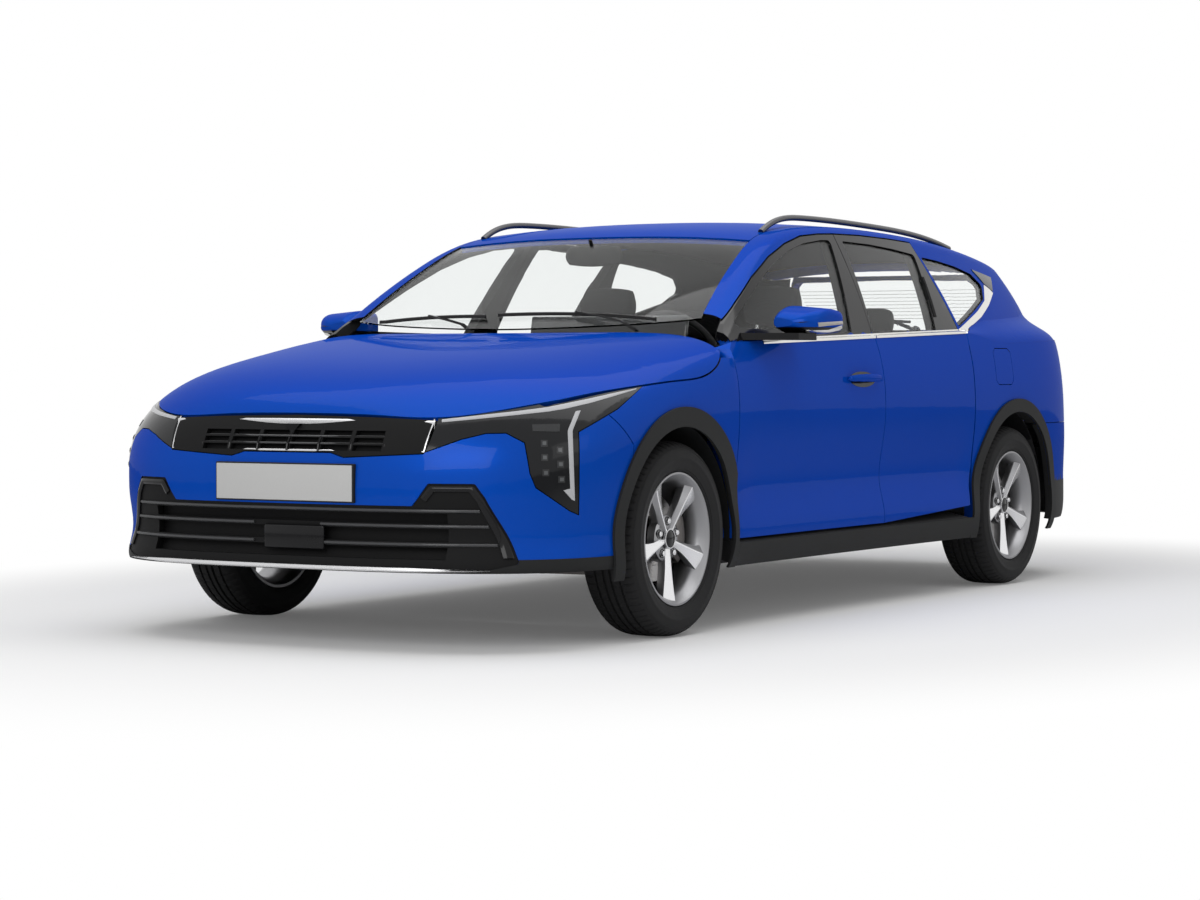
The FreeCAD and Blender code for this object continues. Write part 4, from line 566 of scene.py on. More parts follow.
def dress_nodes():
    def only(key):
        return lambda place, normal: key

    # The grilles' near-black is partly their black plastic, partly painted shade of the space behind their
    # openings.
    plain = {
        "cladding": "plastic", "cowl": "plastic", "upper_grille": "recess", "lower_grille": "recess",
        "headlamps": "smoked", "tail_lamps": "tail", "fixed_glass": "glass", "tailgate_glass": "glass",
        "roof_rails": "rail", "rear_axle": "iron", "front_subframe": "iron", "engine_block": "iron",
        "front_frame": "steel", "dashboard": "inner", "fuel_flap": "paint", "hood": "paint",
    }
    for node, key in plain.items():
        finish_node(node, only(key), [key])
    for side, sign in SIDES:
        finish_node("front_door_" + side, door_rule(sign), ["paint", "gloss_black", "inner"])
        finish_node("rear_door_" + side, door_rule(sign), ["paint", "gloss_black", "inner"])
        finish_node("body_side_" + side, side_rule(sign), ["paint", "inner"])
        finish_node("fender_" + side, fender_rule(sign), ["paint", "plastic"])
        finish_node("front_door_glass_" + side, only("glass"), ["glass"])
        finish_node("rear_door_glass_" + side, only("glass"), ["glass"])
        finish_node("knuckle_" + side, only("iron"), ["iron"])
        finish_node("door_mirror_" + side, mirror_rule, ["paint", "gloss_black"])
    finish_node("roof_panel", lambda p, n: "lining" if n.z < -0.3 else "paint", ["paint", "lining"])
    bumpers = (("front_bumper", LIP_TOP, FRONT_AXLE), ("rear_bumper", REAR_SKIRT_TOP, REAR_AXLE))
    for name, top, axle_x in bumpers:
        finish_node(name, bumper_rule(top, axle_x), ["paint", "plastic"])
        skirt_sheet(name, top)
    finish_node("tailgate", tailgate_rule, ["paint", "inner"])
    finish_node("floor_pan", lambda p, n: "inner" if inside_cabin(p, n) else "steel", ["steel", "inner"])


def skirt_sheet(node, top):
    """Black moulding over a bumper's lower part, with a straight upper edge."""
    bm = bmesh.new()
    bm.from_mesh(NODES[node].data)
    bmesh.ops.bisect_plane(bm, geom=bm.verts[:] + bm.edges[:] + bm.faces[:], plane_co=(0, 0, top),
                           plane_no=(0, 0, 1), clear_outer=True)
    bmesh.ops.remove_doubles(bm, verts=bm.verts, dist=1e-5)
    inner = []
    for face in bm.faces:
        outward = face.calc_center_median() - SKIRT_MIDDLE
        if abs(face.normal.z) < 0.9 and face.normal.dot(outward) < 0:
            inner.append(face)
    bmesh.ops.delete(bm, geom=inner, context="FACES")
    bm.normal_update()
    for vertex in bm.verts:
        vertex.co += vertex.normal * SKIRT_STAND
    mesh = bpy.data.meshes.new(node + "_skirt")
    bm.to_mesh(mesh)
    bm.free()
    mesh.materials.clear()
    mesh.materials.append(M["plastic"])
    mesh.polygons.foreach_set("material_index", [0] * len(mesh.polygons))
    skirt = bpy.data.objects.new(node + "_skirt", mesh)
    bpy.context.scene.collection.objects.link(skirt)
    skirt.matrix_world = NODES[node].matrix_world.copy()
    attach(skirt, "body")


def inside_cabin(place, normal):
    return place.z > FLOOR_TOP and CABIN_END < place.x < CABIN_START and abs(place.y) < CABIN_HALF


# Wheels

RIM_PROFILE = [
    (0.216, -0.089), (0.216, -0.081), (0.2087, -0.080), (0.2087, -0.063), (0.189, -0.045), (0.189, 0.045),
    (0.2087, 0.063), (0.2087, 0.080), (0.2158, 0.0812), (0.2166, 0.0850), (0.2150, 0.0886), (0.209, 0.089),
    (0.2045, 0.0845), (0.1995, 0.0790), (0.190, 0.062), (0.183, 0.049), (0.183, -0.047), (0.197, -0.079),
    (0.207, -0.089),
]
SIDEWALL = [
    (0.2092, 0.0795), (0.2160, 0.0797), (0.2185, 0.0865), (0.2215, 0.0905), (0.2250, 0.0915), (0.2265, 0.0942),
    (0.2340, 0.0968), (0.2450, 0.1000), (0.2560, 0.1018), (0.2570, 0.1024), (0.2640, 0.1024), (0.2650, 0.1018),
    (0.2760, 0.1003), (0.2880, 0.0966), (0.2885, 0.0975), (0.2925, 0.0957), (0.2930, 0.0946), (0.3000, 0.0895),
]
SHOULDER = [(0.3062, 0.0820), (0.3103, 0.0735), (0.3130, 0.0640), (0.3145, 0.0540)]
CROWN = [
    (0.3148, 0.0470), (0.3078, 0.0460), (0.3078, 0.0395), (0.3152, 0.0385), (0.3158, 0.0170), (0.3085, 0.0160),
    (0.3085, 0.0080), (0.3160, 0.0070),
]
TREAD_RINGS = 360
SIPE_DEPTH = 0.0048


def tyre_mesh(centre):
    """Tyre with sidewall steps, three ribs of grooves and cut shoulders."""
    half = SIDEWALL + SHOULDER + CROWN
    profile = [(r, -y) for r, y in half] + [(r, y) for r, y in reversed(half)]
    shoulder_y = [abs(y) for _, y in SHOULDER]
    rings = []
    for i in range(TREAD_RINGS):
        angle = 2 * math.pi * i / TREAD_RINGS
        ring = []
        for r, y in profile:
            cut = 0.0
            if min(shoulder_y) - 0.001 < abs(y) < max(shoulder_y) + 0.001 and r > 0.3:
                cut = SIPE_DEPTH if i % 5 == 0 else 0.0
            elif 0.0380 < abs(y) < 0.0475 or 0.0165 < abs(y) < 0.0390:
                cut = SIPE_DEPTH * 0.55 if (i + (2 if y > 0 else 0)) % 6 == 0 and r > 0.312 else 0.0
            ring.append(Vector(((r - cut) * math.cos(angle), y, (r - cut) * math.sin(angle))) + centre)
        rings.append(ring)
    return lofted(rings, closed_path=True)


SPOKE_COUNT = 5
SPOKE_FIRST = math.radians(-90)
SPOKE_STATIONS = [
    # distance from the hub, ridge height, narrow side, broad side
    (0.022, 0.0585, 0.011, 0.012), (0.055, 0.0610, 0.0125, 0.0150), (0.095, 0.0650, 0.0140, 0.0215),
    (0.135, 0.0690, 0.0165, 0.0330), (0.168, 0.0735, 0.0220, 0.0460), (0.190, 0.0775, 0.0290, 0.0560),
    (0.2015, 0.0790, 0.0330, 0.0620),
]


def spoke_parts(centre, sign):
    """Five ridged spokes: bright faces on one side of each ridge and grey ones on the other."""
    bright, grey = [], []
    for k in range(SPOKE_COUNT):
        angle = SPOKE_FIRST + 2 * math.pi * k / SPOKE_COUNT
        radial = Vector((math.cos(angle), 0, math.sin(angle)))
        across = Vector((-math.sin(angle), 0, math.cos(angle)))
        lift = Vector((0, sign, 0))
        rings = []
        for u, ridge, narrow, broad in SPOKE_STATIONS:
            def spot(v, w, u=u):
                return centre + radial * u + across * v + lift * w

            rings.append([
                spot(-narrow, ridge - 0.013), spot(-0.0035, ridge - 0.0010), spot(0.0, ridge),
                spot(0.0035, ridge - 0.0008), spot(broad, ridge - 0.0105), spot(broad + 0.001, ridge - 0.0155),
                spot(broad - 0.004, ridge - 0.040), spot(-narrow + 0.002, ridge - 0.040),
                spot(-narrow - 0.001, ridge - 0.018),
            ])
        verts, faces = lofted(rings)
        count = len(rings[0])
        for f in faces:
            column = f[0] % count if len(f) == 4 else -1
            (bright if column in (1, 2, 3) and len(f) == 4 else grey).append((verts, f))
    return bright, grey


def pick_faces(pairs):
    verts, faces = [], []
    for v, f in pairs:
        start = len(verts)
        verts += [v[i] for i in f]
        faces.append(tuple(range(start, start + len(f))))
    return verts, faces


def road_wheel(name, x, sign, body):
    """Rim, spokes, cap, nuts, disc, hub stub and tyre of one wheel."""
    centre = Vector((x, WHEEL_Y * sign, AXLE_Z))
    rim = turned(RIM_PROFILE, 160, centre, sign)
    plate_line = [(0.003, 0.0500), (0.066, 0.0500), (0.075, 0.0440), (0.077, 0.0180), (0.003, 0.0180)]
    plate = turned(plate_line, 90, centre, sign)
    bright, grey = spoke_parts(centre, sign)
    make("rim_" + name, *join([rim, plate, pick_faces(grey)]), "alloy_grey", body, "alloy",
         parent_nodes=("wheel_" + name,))
    make("spoke_faces_" + name, *pick_faces(bright), "machined", body, "alloy")
    cap_line = [
        (0.002, 0.0640), (0.020, 0.0632), (0.0275, 0.0605), (0.0290, 0.0560), (0.0290, 0.0400), (0.002, 0.0400),
    ]
    cap = turned(cap_line, 60, centre, sign)
    make("hub_cap_" + name, *cap, "gloss_black", body, "black_trim")
    ring_line = [(0.0290, 0.0560), (0.0290, 0.0622), (0.0308, 0.0630), (0.0330, 0.0622), (0.0338, 0.0540)]
    ring = turned(ring_line, 60, centre, sign)
    make("cap_ring_" + name, *ring, "silver", body, "alloy")
    nuts, nut_well_shades = [], []
    for k in range(SPOKE_COUNT):
        angle = SPOKE_FIRST + 2 * math.pi * (k + 0.5) / SPOKE_COUNT
        spot = centre + Vector((math.cos(angle), 0, math.sin(angle))) * 0.0572
        hexagon = [(0.0004, 0.0600), (0.0075, 0.0600), (0.0098, 0.0580), (0.0100, 0.0420), (0.0004, 0.0420)]
        nuts.append(turned(hexagon, 6, spot, sign))
        # A thin gloss-black ring round each nut: painted shade of the gap in the nut's pocket.
        well_shade_line = [(0.0112, 0.0505), (0.0150, 0.0512), (0.0152, 0.0490), (0.0112, 0.0480)]
        nut_well_shades.append(turned(well_shade_line, 24, spot, sign))
    make("nuts_" + name, *join(nuts), "machined", body, "alloy", smooth=False)
    make("nut_well_shade_" + name, *join(nut_well_shades), "gloss_black", body, "black_trim")
    disc = turned([
        (0.004, 0.0040), (0.086, 0.0040), (0.088, 0.0020), (0.139, 0.0020), (0.140, 0.0010), (0.140, -0.0070),
        (0.136, -0.0080), (0.136, -0.0110), (0.140, -0.0120), (0.140, -0.0190), (0.004, -0.0190),
    ], 120, centre, sign)
    make("brake_disc_" + name, *disc, "disc", body, "iron")
    stub = turned([
        (0.010, -0.0195), (0.034, -0.0195), (0.034, -0.0400), (0.017, -0.0420), (0.017, -0.0890),
        (0.010, -0.0890),
    ], 40, centre, sign)
    make("hub_stub_" + name, *stub, "iron", body, "iron")
    make("tyre_" + name, *tyre_mesh(centre), "rubber", body, "tyre_rubber", parent_nodes=("tyre_" + name,))


def caliper(name, x, sign, body, facing):
    """Brake caliper over the disc's edge."""
    centre = Vector((x, WHEEL_Y * sign, AXLE_Z))
    rings = []
    for i in range(15):
        angle = math.radians(-34 + 68 * i / 14) + (0 if facing > 0 else math.pi)
        ease = min(1.0, 6 * min(i / 14, 1 - i / 14) + 0.35)
        section = [
            (0.098, 0.012), (0.098, 0.012 + 0.020 * ease), (0.120, 0.012 + 0.024 * ease),
            (0.150, 0.012 + 0.018 * ease), (0.158, 0.010), (0.158, -0.040), (0.148, -0.050 - 0.016 * ease),
            (0.110, -0.052 - 0.016 * ease), (0.098, -0.046), (0.098, -0.026), (0.1435, -0.024), (0.1435, 0.010),
        ]
        rings.append([
            centre + Vector((r * math.cos(angle), y * sign, r * math.sin(angle))) for r, y in section
        ])
    make("caliper_" + name, *lofted(rings), "iron", body, "iron")


# Trim on the sides

STRIP_RISE = 0.005
HANDLE_START, HANDLE_END, HANDLE_Z = 0.206, -0.050, 0.826


def belt_strips(settings):
    """Satin strip under the side windows, widening as it climbs behind them."""
    width = settings.strip_width
    for side, sign in SIDES:
        spans = (
            ("front", "door_front_" + side, "front_door_" + side, 0.790, -0.0935),
            ("rear", "door_rear_" + side, "rear_door_" + side, -0.1005, -0.884),
        )
        for name, body, node, x0, x1 in spans:
            skin = Skin(node)

            def find(x, z, skin=skin, sign=sign):
                return skin.side(x, z, sign)

            low = [(x0, belt_z(x0) + STRIP_RISE - width), (x1, belt_z(x1) + STRIP_RISE - width)]
            high = [(x0, belt_z(x0) + STRIP_RISE), (x1, belt_z(x1) + STRIP_RISE)]
            make("belt_strip_%s_%s" % (name, side), *skin_band(find, low, high, 40, 5, -0.001, 0.003, 0.0025),
                 "chrome", body, "alloy")
        skin = Skin("body_side_" + side)

        def find(x, z, skin=skin, sign=sign):
            return skin.side(x, z, sign)

        low = [(-0.893, belt_z(-0.893) + STRIP_RISE - width), (-0.950, belt_z(-0.95) - 0.002), (-1.05, 1.030),
               (-1.20, 1.066), (-1.36, 1.116), (-1.500, 1.168)]
        high = [(-0.893, belt_z(-0.893) + STRIP_RISE), (-0.925, belt_z(-0.925) + 0.012), (-1.02, 1.047),
                (-1.18, 1.088), (-1.33, 1.134), (-1.425, 1.200)]
        make("belt_strip_quarter_" + side, *skin_band(find, low, high, 60, 5, -0.001, 0.003, 0.0025),
             "chrome", "body", "alloy")
        low = [(-1.440, 1.206), (-1.512, 1.176)]
        high = [(-1.372, 1.262), (-1.600, 1.236)]
        make("pillar_panel_" + side, *skin_band(find, low, high, 12, 10, -0.001, 0.0022, 0.001),
             "gloss_black", "body", "black_trim")


def door_handles():
    """Pull handles of the front doors over black sheets of painted shade that stand for their cups, and the
    rear doors' handles in the frame.
    """
    for side, sign in SIDES:
        skin = Skin("front_door_" + side)
        body = "door_front_" + side
        # The cup is a thin gloss-black sheet on the door's skin, not a hollow: painted shade of the handle's
        # recess.
        cup_shade = []
        for i in range(25):
            t = i / 24
            x = between(HANDLE_START - 0.020, HANDLE_END + 0.030, t)
            reach = 0.028 * math.sqrt(max(0.0, 1 - (2 * t - 1) ** 2))
            cup_shade.append([skin.side(x, HANDLE_Z - 0.002 + reach * s, sign) for s in (-1, -0.6, 0, 0.6, 1)])
        rings = []
        for row in cup_shade:
            rings.append([p + n * 0.0010 for p, n in row] + [p - n * 0.001 for p, n in reversed(row)])
        make("handle_cup_shade_" + side, *lofted(rings), "gloss_black", body, "black_trim")
        rings = []
        for i in range(33):
            t = i / 32
            x = between(HANDLE_START, HANDLE_END, t)
            place, normal = skin.side(x, HANDLE_Z, sign)
            stand = 0.006 + 0.026 * math.sin(math.pi * t) ** 0.45
            tall = 0.0105 + 0.0035 * math.sin(math.pi * t)
            thick = 0.0065
            rings.append([
                place + normal * (stand + thick * b) + Vector((0, 0, 1)) * (tall * a)
                for a, b in oval(1.0, 1.0, 14)
            ])
        for i in (0, -1):
            centre = sum(rings[i], Vector()) / len(rings[i])
            rings[i] = [centre + (p - centre) * 0.35 for p in rings[i]]
        make("door_handle_" + side, *lofted(rings), "paint", body, "body_paint")
        skin = Skin("rear_door_" + side)

        def find(x, z, skin=skin, sign=sign):
            return skin.side(x, z, sign)

        front_edge, rear_edge = [(-0.700, 1.060), (-0.748, 1.215)], [(-0.722, 1.060), (-0.766, 1.215)]
        make("hidden_handle_" + side, *skin_band(find, front_edge, rear_edge, 14, 4, -0.001, 0.0025),
             "inner", "door_rear_" + side, "dark_plastic")


# Nose

PLATE_SIZE = (0.004, 0.520, 0.111)
PANEL_START, PANEL_END = 0.352, 0.492
NOSE_LEVELS = (0.604, 0.633, 0.655, 0.678, 0.700)
LIP_LEVEL = 0.2495
BAR_DROP = 0.004


def even_curve(find, places):
    """A curve a + b y^2 + c y^4 through the skin's hits, alike on both sides."""
    rows, values = [], []
    for y in places:
        place, _ = find(y)
        rows.append(Vector((1.0, y**2, y**4)))
        values.append(place.x)
    normal = Matrix([[sum(r[i] * r[j] for r in rows) for j in range(3)] for i in range(3)])
    side = Vector([sum(r[i] * v for r, v in zip(rows, values)) for i in range(3)])
    a, b, c = normal.inverted() @ side
    return lambda y: a + b * y**2 + c * y**4


class NoseFace:
    """The nose's smooth surface round the grille, also where the grille is open or recessed."""

    def __init__(self):
        skin = Skin("upper_grille", "front_bumper")
        self.across = even_curve(lambda y: skin.front(y, 0.598), [0.06 * k for k in range(-8, 9)])
        self.levels = [(z, skin.front(0.0, z)[0].x - self.across(0.0)) for z in NOSE_LEVELS]

    def x(self, y, z):
        pairs = list(zip(self.levels, self.levels[1:]))
        (z0, a), (z1, b) = next((p for p in pairs if z <= p[1][0]), pairs[-1])
        return self.across(y) + between(a, b, (z - z0) / (z1 - z0))

    def __call__(self, y, z):
        step = 0.002
        along_y = Vector((self.x(y + step, z) - self.x(y - step, z), 2 * step, 0))
        along_z = Vector((self.x(y, z + step) - self.x(y, z - step), 0, 2 * step))
        return Vector((self.x(y, z), y, z)), along_y.cross(along_z).normalized()


BLADE_OUTER = [(0.484, 0.474), (0.512, 0.509), (0.640, 0.509), (0.666, 0.470), (0.742, 0.290)]
BLADE_INNER = [(0.500, 0.462), (0.524, 0.492), (0.628, 0.492), (0.648, 0.462), (0.716, 0.290)]


def nose_trim(settings):
    """Grille bar, number plate, sensor covers and the bright line under the bumper."""
    face = NoseFace()
    rings = []
    for i in range(81):
        y = between(-0.497, 0.497, i / 80)
        x = face.x(y, settings.bar_height)
        level = settings.bar_height - BAR_DROP * (y / PANEL_END) ** 2
        rings.append([Vector((x + a, y, level + b)) for a, b in (
            (-0.030, -0.0185), (-0.002, -0.0190), (0.0030, -0.0160), (0.0048, -0.0040), (0.0040, 0.0060),
            (0.0005, 0.0095), (-0.030, 0.0100),
        )])
    make("grille_bar", *lofted(rings), "silver", "body", "alloy")
    plate = placed(rounded_box(PLATE_SIZE, 0.0015, segments=2), Matrix.Translation(settings.plate_at))
    make("number_plate_front", *plate, "plate", "body", "dark_plastic")
    behind_plate = Vector(settings.plate_at) + Vector((-0.0085, 0, 0))
    carrier = rounded_box((0.016, 0.530, 0.120), 0.003, behind_plate, 2)
    make("plate_carrier_front", *carrier, "plastic", "body", "dark_plastic")
    cover_skin = Skin("lower_grille", "front_bumper")
    place, _ = cover_skin.front(0.03, 0.335)
    radar = rounded_box((0.014, 0.228, 0.074), 0.006, (place.x + 0.004, 0.030, 0.344))
    make("radar_cover", *radar, "gloss_black", "body", "black_trim")

    lip = even_curve(lambda y: cover_skin.front(y, LIP_LEVEL), [0.08 * k for k in range(-8, 9)])
    rings = []
    for i in range(101):
        t = i / 100
        y = between(-0.690, 0.690, t)
        thin = min(1.0, 0.18 + 5 * min(t, 1 - t))
        x = lip(y) + 0.009
        rings.append([Vector((x + a, y, 0.2535 + b * thin)) for a, b in (
            (-0.030, -0.0070), (0.000, -0.0075), (0.0060, -0.0050), (0.0070, -0.001), (0.0010, 0.0065),
            (-0.030, 0.0085),
        )])
    make("skid_trim", *lofted(rings), "silver", "body", "alloy")
    wedge = [(0.0, 0.6935), (0.030, 0.6935), (0.006, 0.668), (-0.006, 0.668), (-0.030, 0.6935)]
    front = [Vector((face.x(0.0, 0.680) + 0.006, y, z)) for y, z in wedge]
    rear = [p - Vector((0.03, 0, 0)) for p in front]
    make("camera_wedge", *lofted([rear, front]), "gloss_black", "body", "black_trim")
    for side, sign in SIDES:
        place, normal = face(0.395 * sign, 0.655)
        eye_line = [(0.0004, 0.004), (0.010, 0.0035), (0.0125, 0.001), (0.0135, -0.004), (0.0004, -0.004)]
        facing = normal.to_track_quat("Y", "Z").to_matrix().to_4x4()
        seat = Matrix.Translation(place + normal * 0.001) @ facing
        eye = placed(turned(eye_line, 30, Vector((0, 0, 0))), seat)
        make("grille_sensor_" + side, *eye, "plastic", "body", "dark_plastic")


RIB_PITCH = 0.117
RIB_COUNT = 7
GRILLE_LINES = (0.633, 0.655)
GRILLE_EDGE = [(0.494, 0.706), (0.487, 0.609), (0.216, 0.595), (0.166, 0.609), (0.0, 0.609)]
SLAT_HEIGHTS = (0.330, 0.386, 0.433)


def grille_detail():
    """Fins and thin bars of the upper grille, with the satin line round its lower edge."""
    face = NoseFace()
    fins, lines = [], []
    for i in range(RIB_COUNT):
        y = (i - (RIB_COUNT - 1) / 2) * RIB_PITCH
        foot, _ = face(y, GRILLE_LINES[0])
        head, _ = face(y, GRILLE_LINES[1])
        rings = []
        for k in range(9):
            z = between(0.611, 0.690, k / 8)
            x = between(foot.x, head.x, (z - foot.z) / (head.z - foot.z))
            reach = 0.008 * math.sin(math.pi * min(1.0, (k + 0.6) / 6)) + 0.002
            rings.append([
                Vector((x - 0.014, y - 0.0045, z)), Vector((x + reach - 0.002, y - 0.0030, z)),
                Vector((x + reach, y, z)), Vector((x + reach - 0.002, y + 0.0030, z)),
                Vector((x - 0.014, y + 0.0045, z)),
            ])
        fins.append(lofted(rings))
    for z in GRILLE_LINES:
        lines.append(skin_band(face, [(-0.350, z - 0.0022), (0.350, z - 0.0022)],
                               [(-0.350, z + 0.0022), (0.350, z + 0.0022)], 60, 3, -0.002, 0.0035, 0.001))
    make("grille_fins", *join(fins), "gloss_black", "body", "black_trim")
    make("grille_lines", *join(lines), "grey_trim", "body", "dark_plastic")
    edge = GRILLE_EDGE + [(-y, z) for y, z in reversed(GRILLE_EDGE[:-1])]
    inner = [(y * 0.990, z + 0.0055) for y, z in edge]
    outline = skin_band(face, edge, inner, 120, 4, -0.002, 0.0022, 0.0012)
    make("grille_outline", *outline, "silver", "body", "alloy")
    panels, ridges = [], []
    for sign in (-1, 1):
        a, b = PANEL_START * sign, PANEL_END * sign
        low, high = [(a, 0.612), (b, 0.611)], [(a, 0.708), (b, 0.7055)]
        panels.append(skin_band(face, low, high, 20, 14, -0.010, -0.001))
        for k in range(7):
            z = 0.622 + 0.0105 * k
            a, b = 0.368 * sign, 0.474 * sign
            low, high = [(a, z), (b, z)], [(a, z + 0.0045), (b, z + 0.0045)]
            ridges.append(skin_band(face, low, high, 14, 3, -0.002, 0.0006, 0.0008))
    make("grille_end_panels", *join(panels), "smoked", "body", "black_trim")
    make("grille_end_ridges", *join(ridges), "grey_trim", "body", "black_trim")


def intake_reach(z):
    """Half width of the lower intake at a height."""
    return between(0.752, 0.668, (z - 0.275) / 0.20)


def intake_detail():
    """Slats and corner blades of the lower intake."""
    skin = Skin("lower_grille", "front_bumper")
    slats = []
    for z in SLAT_HEIGHTS:
        reach = intake_reach(z) - 0.030
        spans = ((-reach, reach),) if z > 0.4 else ((-reach, -0.128), (0.128, reach))
        curve = even_curve(lambda y, z=z: skin.front(y, z), [0.09 * k for k in range(-7, 8)])
        for a, b in spans:
            rings = []
            for i in range(51):
                y = between(a, b, i / 50)
                x = curve(y)
                rings.append([
                    Vector((x - 0.020, y, z - 0.0055)), Vector((x + 0.001, y, z - 0.0055)),
                    Vector((x + 0.0055, y, z - 0.0030)), Vector((x + 0.0065, y, z)),
                    Vector((x + 0.0055, y, z + 0.0035)), Vector((x + 0.000, y, z + 0.0055)),
                    Vector((x - 0.020, y, z + 0.0055)),
                ])
            slats.append(lofted(rings))
    make("intake_slats", *join(slats), "grey_trim", "body", "dark_plastic")
    for side, sign in SIDES:
        outer, inner = ([(y * sign, z) for y, z in edge] for edge in (BLADE_OUTER, BLADE_INNER))
        blade = skin_band(skin.front, outer, inner, 60, 5, -0.002, 0.0055, 0.0035)
        make("intake_blade_" + side, *blade, "gloss_black", "body", "black_trim")


# Outlines on the lamp and mirror as the photograph's pixels, which Skin.seen turns into places

LAMP_BAND_TOP = [
    (442.0, 419.6), (480.0, 415.5), (520.0, 411.0), (547.0, 407.5), (565.0, 403.8), (590.0, 398.6),
    (615.0, 393.0), (636.0, 388.6),
]
LAMP_BAND_LOW = [
    (442.0, 422.4), (480.0, 418.9), (520.0, 414.8), (547.0, 411.9), (565.0, 409.0), (590.0, 403.2),
    (615.0, 396.0), (636.0, 389.6),
]
LAMP_LEG_OUT = [(580.5, 410.8), (572.3, 430.6), (574.6, 500.5)]
LAMP_LEG_IN = [(575.5, 411.6), (567.6, 430.6), (570.2, 489.0)]
LAMP_FOOT = [[(570.2, 488.6), (563.4, 490.4)], [(574.6, 500.8), (571.8, 499.6)]]
LAMP_SQUARES = [
    (544.1, 443.5), (544.6, 457.6), (545.7, 472.8), (559.8, 450.2), (560.4, 464.2), (561.5, 479.4),
]
LAMP_BAR = [[(532.0, 424.6), (560.0, 424.0)], [(532.6, 431.4), (559.4, 431.8)]]
SQUARE_HALF = 3.4


def headlamps():
    """Daylight strips, small modules and the upper bar of each lamp, placed as the photograph shows."""
    skin = Skin("headlamps")
    strips = [
        skin_band(skin.seen, LAMP_BAND_TOP, LAMP_BAND_LOW, 40, 4, -0.001, 0.0015, 0.001),
        skin_band(skin.seen, LAMP_LEG_OUT, LAMP_LEG_IN, 30, 4, -0.001, 0.0018, 0.001),
        skin_band(skin.seen, *LAMP_FOOT, 6, 4, -0.001, 0.0018),
    ]
    frames, eyes = [], []
    for px, py in LAMP_SQUARES:
        for scale, group, low, high in ((1.0, frames, -0.001, 0.0012), (0.55, eyes, 0.0011, 0.0030)):
            h = SQUARE_HALF * scale
            upper, lower = [(px - h, py - h), (px + h, py - h)], [(px - h, py + h), (px + h, py + h)]
            group.append(skin_band(skin.seen, upper, lower, 4, 4, low, high))
    bar = skin_band(skin.seen, *LAMP_BAR, 12, 4, -0.001, 0.0014)
    for side, sign in SIDES:
        make("daylight_strip_" + side, *flipped(join(strips), sign), "drl", "body", "lamp_glass")
        make("lamp_frames_" + side, *flipped(join(frames), sign), "led", "body", "lamp_glass")
        make("lamp_eyes_" + side, *flipped(join(eyes), sign), "lamp_eye", "body", "lamp_glass")
        make("lamp_bar_" + side, *flipped(bar, sign), "led", "body", "lamp_glass")


# Mirrors, wipers and glass

MIRROR_STRIP_TOP = [(806.0, 330.0), (828.0, 329.6), (844.5, 324.4)]
MIRROR_STRIP_LOW = [(806.0, 332.6), (828.0, 332.6), (844.8, 328.8)]
INDICATOR_TOP = [(818.0, 322.6), (842.0, 321.0)]
INDICATOR_LOW = [(818.5, 326.6), (842.5, 324.4)]


def mirrors():
    """Strip, indicator and glass of each door mirror."""
    skin = Skin("door_mirror_left")
    strip = skin_band(skin.seen, MIRROR_STRIP_TOP, MIRROR_STRIP_LOW, 24, 4, -0.001, 0.0022, 0.0015)
    lamp = skin_band(skin.seen, INDICATOR_TOP, INDICATOR_LOW, 16, 4, -0.001, 0.0020, 0.001)
    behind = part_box("door_mirror_left")[0][0]
    for side, sign in SIDES:
        body = "door_front_" + side
        make("mirror_strip_" + side, *flipped(strip, sign), "chrome", body, "alloy")
        make("mirror_indicator_" + side, *flipped(lamp, sign), "amber", body, "lamp_glass")
        shell = Skin("door_mirror_" + side)
        rows = []
        centre_y, centre_z = 0.972 * sign, 1.0265
        for radius, lift in ((1.0, -0.004), (1.0, 0.0020), (0.96, 0.0032), (0.60, 0.0038), (0.02, 0.0040)):
            ring = []
            for a, b in oval(1.0, 1.0, 40):
                square = 1.0 / max(abs(a), abs(b)) ** 0.72
                y = centre_y + a * square * 0.068 * radius
                z = centre_z + b * square * 0.036 * radius
                place, _ = shell.back(y, z)
                ring.append(Vector(((place.x if place else behind) - lift, y, z)))
            rows.append(ring)
        make("mirror_glass_" + side, *lofted(rows), "mirror", body, "alloy")


def wipers():
    """Two arms with blades at rest on the windscreen's foot."""
    glass = Skin("fixed_glass")
    for name, pivot, tip, heel in (("left", (1.060, 0.520), (1.015, -0.060), (0.995, 0.560)),
                                   ("right", (1.085, -0.120), (0.995, -0.640), (1.022, -0.110))):
        blade = []
        for i in range(25):
            x, y = (between(a, b, i / 24) for a, b in zip(heel, tip))
            place, normal = glass.top(x, y)
            if place is None:
                continue
            blade.append(place + normal * 0.0085)
        blade_section = [(0.006, -0.006), (0.0045, 0.004), (0, 0.0065), (-0.0045, 0.004), (-0.006, -0.006)]
        bar = swept(blade, blade_section)
        middle = blade[len(blade) // 2]
        start = Vector((pivot[0], pivot[1], middle.z - 0.060))
        knee = start.lerp(middle, 0.25) + Vector((0, 0, 0.020))
        elbow = start.lerp(middle, 0.6) + Vector((0, 0, 0.016))
        arm = swept([start, knee, elbow, middle + Vector((0, 0, 0.008))],
                    [(0.009, -0.003), (0.007, 0.003), (-0.007, 0.003), (-0.009, -0.003)])
        make("wiper_" + name, *join([bar, arm]), "gloss_black", "body", "black_trim")


# Tail


def level_band(find, half, low, high, *form):
    """A band across the car's middle between two levels."""
    return skin_band(find, [(-half, low), (half, low)], [(-half, high), (half, high)], *form)


